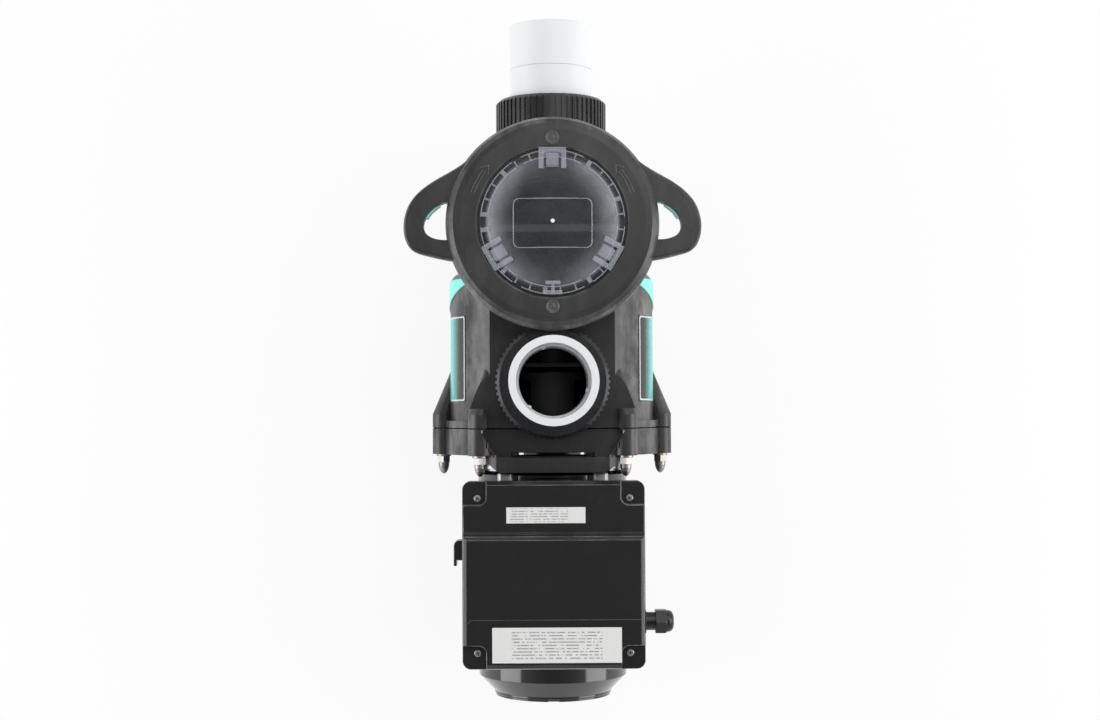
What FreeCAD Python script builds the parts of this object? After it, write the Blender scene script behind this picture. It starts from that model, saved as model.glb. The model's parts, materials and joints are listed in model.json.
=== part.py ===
"""Pool pump: a strainer pot with a twist-lock see-through lid, a volute housing with a top outlet,
a seal plate, a fan-cooled motor and the drive box that sits on it.

Millimetres. +Z is up, the suction union faces -Y, the motor runs towards +Y.
The origin is on the floor, in the middle of the four mounting holes of the base.
"""
import FreeCAD
import Part
import math
import os

V = FreeCAD.Vector
AXIS_X, AXIS_Y, AXIS_Z = V(1, 0, 0), V(0, 1, 0), V(0, 0, 1)

# ---------------------------------------------------------------- driving dimensions
shaft_z = 165.0              # height of the motor shaft and of the volute's axis
run_gap = 0.3                # gap between pieces that move past each other or only lie close

# unions, the same size on both ports
stub_r = 45.0                # glue stub, outside
stub_wall = 7.5
socket_r = stub_r - stub_wall
socket_depth = 46.0
stub_line = 48.0             # fine line round the stub, one socket's depth from its end
stub_relief = 0.3            # the stub is this much slimmer from that line in to the nut
port_bore_r = 37.0
neck_r = stub_r + 8.5        # threaded neck that the nut screws on
union_r = neck_r + 5.3       # nut under its ribs
union_rib = 1.5
union_ribs = 60
union_len = 37.5
union_wall = 5.0
tail_flange_t = 6.0
tail_flange_r = neck_r - 1.5
thread_gap = 0.3
seal_r = stub_r + 2.75       # middle of the face seal under the stub's flange
seal_half_w = 3.25
suction_stub_out = 82.0      # how far each stub stands out of its nut
outlet_stub_out = 104.0

# volute housing
housing_r = 113.0
housing_wall = 5.0
housing_front_y = -125.0
housing_rear_y = 48.5
housing_flat_z = shaft_z + housing_r - 22.0     # the flat deck that the outlet neck stands on
deck_half_w = union_r + 3.2
shoulder_r = 16.0            # rounding of the housing's front edge
chamber_r = housing_r - 9.0
chamber_front_y = -17.0
flange_r = housing_r + 5.0
flange_t = 7.5
stud_circle_r = housing_r + 8.0
stud_angles = (40.0, 90.0, 140.0)   # from the top, on both sides
stud_r = 4.0
ear_r = 12.5
ear_front_y = housing_rear_y - 14.5
ear_root_y = ear_front_y - 56.0
outlet_nut_z = housing_flat_z + 2.5 + union_len
outlet_end_z = outlet_nut_z + outlet_stub_out

# seal plate
joint_gap = 1.2              # the visible seam between housing and seal plate
plate_t = 28.3
plate_face_t = 7.5
housing_seat_y = housing_rear_y + joint_gap
plate_rear_y = housing_seat_y + plate_t
hood_reach = 18.0            # how far the raised rear bar stands behind the plate
hood_top_z = housing_flat_z + 10.0
hood_half_w = 60.0
pocket_z = housing_flat_z - 4.0     # floor of the pocket that clears the outlet nut
pocket_front_half_w = math.sqrt(flange_r ** 2 - (pocket_z - shaft_z) ** 2) - 0.7
pocket_rear_half_w = hood_half_w - 2.0
bar_t = 16.0

# strainer pot and lid
pot_r = 86.0
pot_wall = 4.5
pot_floor_z = 62.0
nut_lift = 22.0              # room above the outlet nut to unscrew it
ring_bottom_z = outlet_nut_z + nut_lift
rim_z = ring_bottom_z + 13.0        # the pot's rim, where the lid seats
ring_top_z = rim_z + 11.0
collar_r = pot_r + 11.0
lug_reach = 6.0
lug_t = 5.0
lug_arc = 30.0
lug_count = 4
ring_r = collar_r + lug_reach + 7.3
ring_flat_r = ring_r - 14.3         # outer edge of the ring's flat top
window_r = pot_r - 9.0       # opening of the ring, where the clear lid shows
ring_stub_gap = 7.7          # between the ring and the outlet stub behind it
pot_y = -(stub_r + ring_stub_gap + ring_r)
lid_wall = 4.0
dome_rise = 13.0
lid_flange_t = 5.5
lid_spigot_r = pot_r - 8.0
handle_reach = ring_r + 42.2
handle_t = 15.0
handle_z = ring_bottom_z + 1.0
dimple_r = (window_r + ring_flat_r) / 2
basket_rim_r = pot_r - 2.5
basket_rim_z = rim_z - 31.0
pot_lug_z = rim_z - 8.0
suction_z = shaft_z + 40.0   # height of the suction union's axis
suction_neck = 61.0          # from the pot's wall to the nut's outer face
suction_nut_y = pot_y - pot_r - suction_neck
suction_end_y = suction_nut_y - suction_stub_out
outlet_neck_r = 44.0
outlet_neck_y = chamber_front_y - 37.0

# drain plugs
drain_r = 9.0
drain_boss_r = 16.0
pot_drain_x, pot_drain_z = 38.0, pot_floor_z + 26.0
pot_drain_y = pot_y - pot_r - 4
volute_drain_x, volute_drain_y, volute_drain_z = housing_r - 9.0, 18.0, shaft_z - 77.0

# motor
bell_front_y = plate_rear_y + hood_reach
bell_t = 22.0
motor_r = 80.0
motor_wall = 7.0
motor_len = 192.0
motor_rear_y = bell_front_y + motor_len
fin_h = 7.0
fin_t = 2.2
fin_step = 9.0
shaft_r = 8.0
shaft_core_r = 12.0
bearing_in_r = 8.5
bearing_out_r = 20.0
bearing_t = 12.0
ball_r = 3.4
front_bearing_y = bell_front_y + 8.0
rear_bearing_y = motor_rear_y - 0.5
rotor_r = 42.4
air_gap = 0.6
core_y0, core_y1 = bell_front_y + 44.0, motor_rear_y - 48.0
cover_r = motor_r + 2.0
cover_wall = 2.5
cover_taper_y = motor_rear_y + 34.0
cover_end_r = motor_r - 16.0
cover_end_y = motor_rear_y + 56.5
cover_screw_angles = (60, 120, 240, 300)
fan_y = motor_rear_y + 17.0
fan_r = motor_r - 20.0
motor_bolt_circle_r = motor_r - 12.0
motor_bolt_r = 4.0

# drive box
box_half_x = 95.0
box_len = 195.0
box_y0 = bell_front_y + 7.0
box_y1 = box_y0 + box_len
box_wall = 4.0
box_floor_z = shaft_z + motor_r + 3.0
box_depth = 38.0
box_split_z = box_floor_z + box_depth
box_seal_t = 2.0
box_top_z = box_split_z + 24.0
box_corner_r = 9.0
screw_inset_x, screw_inset_y0, screw_inset_y1 = 16.0, 18.0, 17.0
screw_x = box_half_x - screw_inset_x
screw_y0, screw_y1 = box_y0 + screw_inset_y0, box_y1 - screw_inset_y1
pad_size = 25.0              # the lowered corner where a cover screw sits
pad_drop = 5.0
band_y0 = box_y0 + 53.0      # step between the front band and the main panel
gland_y, gland_z = box_y1 - 45.0, box_floor_z + 20.0
gland_x = -box_half_x + 3    # the box's side wall, where the gland seats
gland_thread_r = 9.8
clip_y = box_y0 + 75.0
board_z = box_floor_z + 10.0

# base
base_plate_t = 10.0
base_top_z = shaft_z - housing_r
bolt_x, bolt_y = 100.0, 55.0
bolt_edge_x, bolt_edge_y = 15.0, 20.0
base_half_x, base_half_y = bolt_x + bolt_edge_x, bolt_y + bolt_edge_y
bolt_hole_r = 5.5
rail_x, rail_half_w = 62.0, 22.0


# ---------------------------------------------------------------- helpers
def rod(direction, r, a, b, u=0.0, v=0.0):
    """Cylinder along an axis from a to b. (u, v) are the two other coordinates in X, Y, Z order."""
    base = {"x": V(a, u, v), "y": V(u, a, v), "z": V(u, v, a)}[direction]
    along = {"x": AXIS_X, "y": AXIS_Y, "z": AXIS_Z}[direction]
    return Part.makeCylinder(r, b - a, base, along)


def tube(direction, r_out, r_in, a, b, u=0.0, v=0.0):
    return rod(direction, r_out, a, b, u, v).cut(rod(direction, r_in, a - 1, b + 1, u, v))


def cone(direction, r0, r1, a, b, u=0.0, v=0.0):
    base = {"x": V(a, u, v), "y": V(u, a, v), "z": V(u, v, a)}[direction]
    along = {"x": AXIS_X, "y": AXIS_Y, "z": AXIS_Z}[direction]
    return Part.makeCone(r0, r1, b - a, base, along)


def block(x0, x1, y0, y1, z0, z1):
    return Part.makeBox(x1 - x0, y1 - y0, z1 - z0, V(x0, y0, z0))


def o_ring(direction, major, minor, at, u=0.0, v=0.0):
    centre = {"x": V(at, u, v), "y": V(u, at, v), "z": V(u, v, at)}[direction]
    along = {"x": AXIS_X, "y": AXIS_Y, "z": AXIS_Z}[direction]
    return Part.makeTorus(major, minor, centre, along)


def spun(points, centre=V(0, 0, 0), axis=AXIS_Z):
    """Revolves a closed (radius, height) outline about the axis through centre."""
    flat = [V(r, 0, h) for r, h in points]
    face = Part.Face(Part.makePolygon(flat + flat[:1]))
    solid = face.revolve(V(0, 0, 0), AXIS_Z, 360)
    solid.Placement = FreeCAD.Placement(centre, FreeCAD.Rotation(AXIS_Z, axis))
    return solid


def prism(points, z0, z1):
    """Extrudes a closed (x, y) outline from z0 to z1."""
    flat = [V(x, y, z0) for x, y in points]
    return Part.Face(Part.makePolygon(flat + flat[:1])).extrude(V(0, 0, z1 - z0))


def prism_y(points, y0, y1):
    """Extrudes a closed (x, z) outline from y0 to y1."""
    flat = [V(x, y0, z) for x, z in points]
    return Part.Face(Part.makePolygon(flat + flat[:1])).extrude(V(0, y1 - y0, 0))


def hexagon(direction, across_flats, a, b, u=0.0, v=0.0, turn=0.0):
    """Hexagonal bar along an axis."""
    r = across_flats / math.sqrt(3)
    corners = []
    for i in range(6):
        t = math.radians(60 * i + turn)
        c, s = r * math.cos(t), r * math.sin(t)
        corners.append({"x": V(a, u + c, v + s), "y": V(u + c, a, v + s),
                        "z": V(u + c, v + s, a)}[direction])
    along = {"x": AXIS_X, "y": AXIS_Y, "z": AXIS_Z}[direction]
    return Part.Face(Part.makePolygon(corners + corners[:1])).extrude(along * (b - a))


def turned(shape, angle, centre=V(0, 0, 0), axis=AXIS_Z):
    copy = shape.copy()
    copy.rotate(centre, axis, angle)
    return copy


def mirrored(shape):
    """The same shape on the other side of the YZ plane."""
    return shape.mirror(V(0, 0, 0), AXIS_X)


def sector(centre, r_in, r_out, z0, z1, mid_angle, arc):
    """Part of a flat ring about a vertical axis."""
    ring = Part.makeCylinder(r_out, z1 - z0, V(centre.x, centre.y, z0), AXIS_Z, arc)
    ring = ring.cut(Part.makeCylinder(r_in, z1 - z0 + 2, V(centre.x, centre.y, z0 - 1), AXIS_Z))
    return turned(ring, mid_angle - arc / 2, centre)


def rounded(shape, radius, pick):
    """Fillets the edges that pick chooses. A wall thinner than the fillet limits the radius."""
    edges = [e for e in shape.Edges if pick(e)]
    return shape.makeFillet(radius, edges) if edges else shape


def stud_places():
    for angle in stud_angles:
        for side in (1, -1):
            t = math.radians(angle)
            yield (side * stud_circle_r * math.sin(t), shaft_z + stud_circle_r * math.cos(t))


def fused(first, *others):
    return first.fuse(list(others)) if others else first


def save(name, shape):
    solids = shape.Solids
    for s in solids:
        if not s.isValid():
            print("INVALID solid in", name)
    out = solids[0] if len(solids) == 1 else Part.makeCompound(solids)
    out.exportStep(f"parts/{name}.step")
    print(f"{name:24s} solids {len(solids)}  volume {sum(s.Volume for s in solids) / 1000:.1f} cm3")


os.makedirs("parts", exist_ok=True)
pot_centre = V(0, pot_y, 0)
nodes = {}


# ---------------------------------------------------------------- strainer pot
def strainer_pot():
    barrel = rod("z", pot_r, pot_floor_z, rim_z, 0, pot_y)
    barrel = rounded(barrel, 14, lambda e: e.BoundBox.ZMax < pot_floor_z + 0.1 and e.Length > 100)
    collar = spun([(0, rim_z - 33), (pot_r, rim_z - 33), (collar_r, rim_z - 21), (collar_r, rim_z), (0, rim_z)],
                  pot_centre)
    neck_y = suction_nut_y + union_wall + tail_flange_t
    neck = rod("y", neck_r, neck_y, pot_y, 0, suction_z)
    neck_root = rod("y", neck_r + 4, pot_y - pot_r - 6, pot_y, 0, suction_z)
    outlet = rod("y", outlet_neck_r, pot_y, outlet_neck_y, 0, shaft_z)
    drain_boss = rod("y", drain_boss_r, pot_drain_y, pot_y, pot_drain_x, pot_drain_z)
    pot = fused(barrel, collar, neck, neck_root, outlet, drain_boss)
    for i in range(lug_count):
        lug = sector(pot_centre, collar_r - 2, collar_r + lug_reach, pot_lug_z, pot_lug_z + lug_t,
                     45 + 90 * i, lug_arc)
        pot = pot.fuse(lug)
    for x in (-30, 30):
        foot = block(x - 9, x + 9, pot_y - 45, pot_y + 45, base_plate_t, pot_floor_z + 3)
        pot = pot.fuse(foot)
    inside_r = pot_r - pot_wall
    hollow = rod("z", inside_r, pot_floor_z + pot_wall + 1.5, rim_z + 1, 0, pot_y)
    hollow = rounded(hollow, 10, lambda e: e.BoundBox.ZMax < pot_floor_z + 10 and e.Length > 100)
    pot = pot.cut(hollow)
    pot = pot.cut(rod("z", basket_rim_r + 1.0, basket_rim_z, rim_z + 1, 0, pot_y))
    pot = pot.cut(rod("y", port_bore_r, neck_y - 1, pot_y, 0, suction_z))
    pot = pot.cut(rod("y", port_bore_r, pot_y, outlet_neck_y + 1, 0, shaft_z))
    pot = pot.cut(rod("y", drain_r + 0.05, pot_drain_y - 1, pot_y, pot_drain_x, pot_drain_z))
    return pot.cut(tube("y", seal_r + seal_half_w, seal_r - seal_half_w, neck_y - 1, neck_y + 2.8, 0, suction_z))


nodes["strainer_pot"] = strainer_pot()


def strainer_basket():
    wall = 2.6
    top_r = basket_rim_r - 5.5
    bottom_r = top_r - 18.0
    z0, z1 = pot_floor_z + 12.0, basket_rim_z
    cup = cone("z", bottom_r, top_r, z0, z1, 0, pot_y)
    cup = cup.cut(cone("z", bottom_r - wall, top_r - wall, z0 + wall, z1 + 0.01, 0, pot_y))
    rim = tube("z", basket_rim_r, top_r - wall, z1, z1 + 4, 0, pot_y)
    cup = cup.fuse(rim)
    window = rod("y", port_bore_r + 4, pot_y - 90, pot_y, 0, suction_z)
    cup = cup.cut(window)
    slots = []
    for row in range(6):
        for i in range(18):
            angle = 20 * i + 10 * (row % 2)
            z = z0 + 22 + row * 30
            if abs((angle - 270 + 180) % 360 - 180) < 42 and abs(z - suction_z) < 50:
                continue
            slot = block(40, top_r + 12, -3.5, 3.5, z - 9, z + 9)
            slots.append(turned(slot, angle).translated(V(0, pot_y, 0)))
    cup = cup.cut(Part.makeCompound(slots))
    holes = []
    pitch = 11.0
    for i in range(-5, 6):
        for j in range(-5, 6):
            x = pitch * (i + 0.5 * (j % 2))
            y = pitch * 0.87 * j
            if math.hypot(x, y) < bottom_r - 7 and abs(x) > 4:
                holes.append(rod("z", 2.6, z0 - 1, z0 + wall + 1, x, pot_y + y))
    cup = cup.cut(Part.makeCompound(holes))
    bar = block(-(top_r - 1), top_r - 1, pot_y - 4, pot_y + 4, z1 - 26, z1 - 20)
    bar = bar.common(cone("z", bottom_r, top_r, z0, z1, 0, pot_y))
    return cup.fuse(bar)


nodes["strainer_basket"] = strainer_basket()


# ---------------------------------------------------------------- lid
def lid_ring():
    skirt_in_r = collar_r + lug_reach + 1.0
    seat_z = rim_z + lid_flange_t + 0.1
    outline = [(window_r, ring_top_z - 1.5), (window_r + 1.5, ring_top_z), (ring_flat_r, ring_top_z),
               (ring_flat_r + 6, ring_top_z - 1.6), (ring_flat_r + 10.5, ring_top_z - 5.2),
               (ring_r - 0.8, ring_top_z - 11), (ring_r, ring_top_z - 16), (ring_r, ring_bottom_z + 2),
               (ring_r - 1, ring_bottom_z), (skirt_in_r, ring_bottom_z), (skirt_in_r, seat_z),
               (window_r, seat_z)]
    ring = spun(outline, pot_centre)
    for i in range(lug_count):
        lug = sector(pot_centre, collar_r + 1.2, skirt_in_r + 1, ring_bottom_z, pot_lug_z - 0.4,
                     45 + 90 * i, lug_arc)
        ring = ring.fuse(lug)
    ring = ring.fuse(handle()).fuse(mirrored(handle()))
    # the bore clears what the handles' roots would fill
    inner = rod("z", skirt_in_r, ring_bottom_z - 1, seat_z, 0, pot_y)
    lugs = [sector(pot_centre, collar_r + 1.2, skirt_in_r + 1, ring_bottom_z, pot_lug_z - 0.4,
                   45 + 90 * i, lug_arc) for i in range(lug_count)]
    ring = ring.cut(inner).fuse(lugs)
    for side in (-1, 1):
        dimple = tube("z", 6.6, 5.2, ring_top_z - 0.9, ring_top_z + 1, 0, pot_y + side * dimple_r)
        ring = ring.cut(dimple)
    return ring


def handle():
    """The loop on the +X side: a rounded triangle that leaves the ring at a tangent."""
    z0, z1 = handle_z, handle_z + handle_t
    r = ring_r
    rim = [(r - 32.3, -76), (r - 13.3, -58), (r + 5.7, -47), (r + 23.7, -35), (r + 36.7, -20), (handle_reach, -4),
           (handle_reach - 0.5, 14), (r + 34.7, 27), (r + 20.7, 33), (r + 1.7, 37.5), (r - 18.3, 41)]
    solid = smooth_slab(rim, [(r - 50.3, 41), (r - 50.3, -76)], z0, z1)
    edges = [e for e in solid.Edges if e.BoundBox.XMax > handle_reach - 2 and e.BoundBox.ZLength < 0.1]
    solid = solid.makeFillet(3.5, edges)
    eye = [(r + 1, -21), (r + 8.7, -17.5), (r + 15.7, -12), (r + 20.7, -4), (r + 22.2, 4), (r + 19.2, 11),
           (r + 10.7, 16), (r + 1, 17.5)]
    solid = solid.cut(smooth_slab(eye, [(ring_r - 12, 17.5), (ring_r - 12, -21)], z0 - 1, z1 + 1))
    return solid.cut(rod("z", ring_r - 6, z0 - 1, z1 + 1, 0, pot_y))


def smooth_slab(curve, corners, z0, z1):
    """Slab whose outline is a smooth curve closed by straight lines, placed about the pot's centre."""
    points = [V(x, pot_y + y, z0) for x, y in curve]
    spline = Part.BSplineCurve()
    spline.interpolate(points)
    rest = [points[-1]] + [V(x, pot_y + y, z0) for x, y in corners] + [points[0]]
    edges = [spline.toShape()]
    edges += [Part.LineSegment(a, b).toShape() for a, b in zip(rest, rest[1:])]
    return Part.Face(Part.Wire(edges)).extrude(V(0, 0, z1 - z0))


def grip_pad():
    """Soft finger pad let into the front wall of the handle's eye, on the +X side."""
    r = ring_r
    curve = [(r + 5, -19.1), (r + 8.7, -17.3), (r + 15.4, -11.9), (r + 19.9, -5.2)]
    corners = [(r + 18.1, -4.2), (r + 13.9, -10.4), (r + 7.7, -15.6), (r + 5, -17.4)]
    return smooth_slab(curve, corners, handle_z + 1.5, handle_z + handle_t - 3.5)


nodes["lid_ring"] = lid_ring()
nodes["grip_pads"] = Part.makeCompound([grip_pad(), mirrored(grip_pad())])


def clear_lid():
    flange_r_lid = collar_r + 1.0
    z0 = rim_z + 0.1
    z1 = z0 + lid_flange_t - 0.2
    dome_r = window_r - 2.5
    top = ring_top_z - 2 + dome_rise
    centre_drop = (dome_r ** 2 - dome_rise ** 2) / (2 * dome_rise)
    sphere_r = centre_drop + dome_rise
    centre = V(0, pot_y, top - sphere_r)
    outer = rod("z", dome_r, z0, top + 1, 0, pot_y).common(Part.makeSphere(sphere_r, centre))
    flange = rod("z", flange_r_lid, z0, z1, 0, pot_y)
    step = rod("z", window_r - 0.8, z0, ring_top_z - 3, 0, pot_y)
    lid = fused(outer, flange, step)
    inner = rod("z", dome_r - lid_wall, z0 - 12, top + 1, 0, pot_y)
    inner = inner.common(Part.makeSphere(sphere_r - lid_wall, centre))
    spigot = tube("z", lid_spigot_r, lid_spigot_r - 3.5, z0 - 9, z0 + 0.5, 0, pot_y)
    lid = lid.fuse(spigot).cut(inner)
    return lid


nodes["clear_lid"] = clear_lid()
nodes["lid_o_ring"] = o_ring("z", lid_spigot_r + 2.35, 2.0, rim_z - 2.3, 0, pot_y)


# ---------------------------------------------------------------- unions
def union_nut(direction, face, outward, u, v):
    """Ribbed union nut. face is its outer face, outward is the sign of the way it unscrews."""
    inner = face - outward * union_len
    a, b = sorted((face, inner))
    nut = rod(direction, union_r, a, b, u, v)
    tooth_w = 2 * math.pi * union_r / union_ribs * 0.5
    ribs = []
    for i in range(union_ribs):
        angle = 360.0 / union_ribs * i
        if direction == "y":
            rib = block(-tooth_w / 2, tooth_w / 2, a + 1.5, b - 1.5, union_r - 1.5, union_r + union_rib)
            ribs.append(turned(rib, angle, V(0, 0, 0), AXIS_Y).translated(V(u, 0, v)))
        else:
            rib = block(union_r - 1.5, union_r + union_rib, -tooth_w / 2, tooth_w / 2, a + 1.5, b - 1.5)
            ribs.append(turned(rib, angle, V(0, 0, 0), AXIS_Z).translated(V(u, v, 0)))
    nut = nut.fuse(ribs)
    # a chamfer round both ends trims the ribs as well
    top_r = union_r + union_rib
    ends = [cone(direction, top_r - 4.2, top_r + 4, face, face - outward * 8.2, u, v)
            if outward < 0 else cone(direction, top_r + 4, top_r - 4.2, face - 8.2, face, u, v)]
    body = rod(direction, top_r + 1, a, b, u, v)
    trim = rod(direction, top_r + 5, *sorted((face, face - outward * 8.2)), u, v).cut(ends[0])
    nut = nut.cut(trim).common(body)
    nut = nut.cut(rod(direction, stub_r + 0.4, a - 1, b + 1, u, v))
    cavity = sorted((face - outward * union_wall, inner - outward))
    return nut.cut(rod(direction, neck_r + thread_gap, *cavity, u, v))


def tailpiece(direction, face, end, outward, u, v):
    """White glue stub whose flange is held by the nut."""
    flange_a = face - outward * (union_wall + 0.1)
    flange_b = face - outward * (union_wall + tail_flange_t - 0.1)
    groove_at = end - outward * stub_line
    shank = rod(direction, stub_r - stub_relief, *sorted((flange_b, groove_at)), u, v)
    body = rod(direction, stub_r, *sorted((groove_at, end)), u, v)
    flange = rod(direction, tail_flange_r, *sorted((flange_a, flange_b)), u, v)
    part = body.fuse(shank).fuse(flange)
    part = part.cut(rod(direction, port_bore_r - 1.5, *sorted((flange_b - outward, end + outward)), u, v))
    part = part.cut(rod(direction, socket_r, *sorted((end - outward * socket_depth, end + outward)), u, v))
    groove = tube(direction, stub_r + 1, stub_r - 0.6, groove_at - 0.3, groove_at + 0.3, u, v)
    return part.cut(groove)


nodes["suction_nut"] = union_nut("y", suction_nut_y, -1, 0, suction_z)
nodes["suction_tailpiece"] = tailpiece("y", suction_nut_y, suction_end_y, -1, 0, suction_z)
nodes["suction_o_ring"] = o_ring("y", seal_r, 1.4, suction_nut_y + union_wall + tail_flange_t + 1.3, 0, suction_z)
nodes["outlet_nut"] = union_nut("z", outlet_nut_z, 1, 0, 0)
nodes["outlet_tailpiece"] = tailpiece("z", outlet_nut_z, outlet_end_z, 1, 0, 0)
nodes["outlet_o_ring"] = o_ring("z", seal_r, 1.4, outlet_nut_z - union_wall - tail_flange_t - 1.3, 0, 0)


# ---------------------------------------------------------------- volute housing
def flange_outline(y0, y1, r):
    disc = rod("y", r, y0, y1, 0, shaft_z)
    ears = [rod("y", ear_r, y0, y1, x, z) for x, z in stud_places()]
    return disc.fuse(ears)


def ear_root(x, z):
    """Tapered boss that carries a stud's ear forward into the housing's side."""
    lean = (housing_r - 11) / stud_circle_r
    front = Part.Wire(Part.makeCircle(8.0, V(x * lean, ear_root_y, shaft_z + (z - shaft_z) * lean), AXIS_Y))
    back = Part.Wire(Part.makeCircle(ear_r, V(x, ear_front_y, z), AXIS_Y))
    return Part.makeLoft([front, back], True).fuse(rod("y", ear_r, ear_front_y, housing_rear_y, x, z))


def volute_housing():
    body = rod("y", housing_r, housing_front_y, housing_rear_y, 0, shaft_z)
    body = rounded(body, shoulder_r, lambda e: e.BoundBox.YMax < housing_front_y + 0.1 and e.Length > 100)
    body = body.fuse(rod("y", flange_r, housing_rear_y - flange_t, housing_rear_y, 0, shaft_z))
    body = body.fuse([ear_root(x, z) for x, z in stud_places()])
    body = body.cut(block(-150, 150, housing_front_y - 1, ear_front_y - 6, housing_flat_z, 400))
    flare = prism([(-deck_half_w, ear_front_y - 30), (deck_half_w, ear_front_y - 30), (pocket_front_half_w - 9, ear_front_y - 6),
                   (pocket_front_half_w - 9, housing_rear_y + 1), (-(pocket_front_half_w - 9), housing_rear_y + 1),
                   (-(pocket_front_half_w - 9), ear_front_y - 6)], housing_flat_z, 400)
    body = body.cut(flare)
    neck_top = outlet_nut_z - union_wall - tail_flange_t
    neck = rod("z", neck_r, housing_flat_z - 20, neck_top, 0, 0)
    body = body.fuse(neck.cut(block(-60, 60, housing_rear_y, 100, 200, pocket_z + run_gap)))
    boss = rod("x", drain_boss_r, 60, volute_drain_x, volute_drain_y, volute_drain_z)
    body = body.fuse(boss)
    pads = [block(side * rail_x - 18, side * rail_x + 18, -48, 12, base_top_z, base_top_z + 28) for side in (-1, 1)]
    body = body.fuse(pads)
    # chamber behind the partition, open towards the seal plate
    chamber = rod("y", chamber_r, chamber_front_y, housing_rear_y + 1, 0, shaft_z)
    chamber = chamber.cut(block(-150, 150, -200, 200, housing_flat_z - 7, 400))
    body = body.cut(chamber)
    body = body.cut(rod("z", port_bore_r, shaft_z + 60, neck_top + 1, 0, 0))
    # cheeks in front of the partition are a shell round the inlet duct, open to the front
    partition_y = chamber_front_y - housing_wall
    cavity = rod("y", housing_r - housing_wall, housing_front_y - 1, partition_y, 0, shaft_z)
    cavity = cavity.cut(block(-150, 150, -200, 200, housing_flat_z - housing_wall, 400))
    cavity = cavity.cut(rod("y", outlet_neck_r + 5.5, -100, partition_y + 1, 0, shaft_z))
    body = body.cut(cavity)
    body = body.cut(rod("z", pot_r + 2.0, -10, 400, 0, pot_y))
    body = body.cut(rod("y", outlet_neck_r + run_gap, -110, outlet_neck_y + 4, 0, shaft_z))
    body = body.cut(rod("y", port_bore_r, -110, chamber_front_y + 1, 0, shaft_z))
    body = body.cut([rod("y", stud_r + 0.1, ear_front_y + 4, housing_rear_y + 1, x, z)
                     for x, z in stud_places()])
    groove = tube("y", housing_r - 1.5, housing_r - 7.0, housing_rear_y - 3.4, housing_rear_y + 1, 0, shaft_z)
    groove = groove.cut(block(-150, 150, 0, 100, housing_flat_z - 7, 400))
    body = body.cut(groove)
    body = body.cut(rod("x", drain_r + 0.05, 60, volute_drain_x + 1, volute_drain_y, volute_drain_z))
    return body.cut(tube("z", seal_r + seal_half_w, seal_r - seal_half_w, neck_top - 2.8, neck_top + 1))


nodes["volute_housing"] = volute_housing()
nodes["inlet_o_ring"] = o_ring("y", outlet_neck_r - 3.4, 1.95, outlet_neck_y + 2.0, 0, shaft_z)


def housing_seal():
    """Square cord seal in the housing's rear groove, bridged flat across the deck."""
    ring = tube("y", housing_r - 2.5, housing_r - 6.0, housing_rear_y - 3.3, housing_seat_y - 0.05, 0, shaft_z)
    return ring.cut(block(-150, 150, 0, 100, housing_flat_z - 7.1, 400))


nodes["housing_gasket"] = housing_seal()


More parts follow.
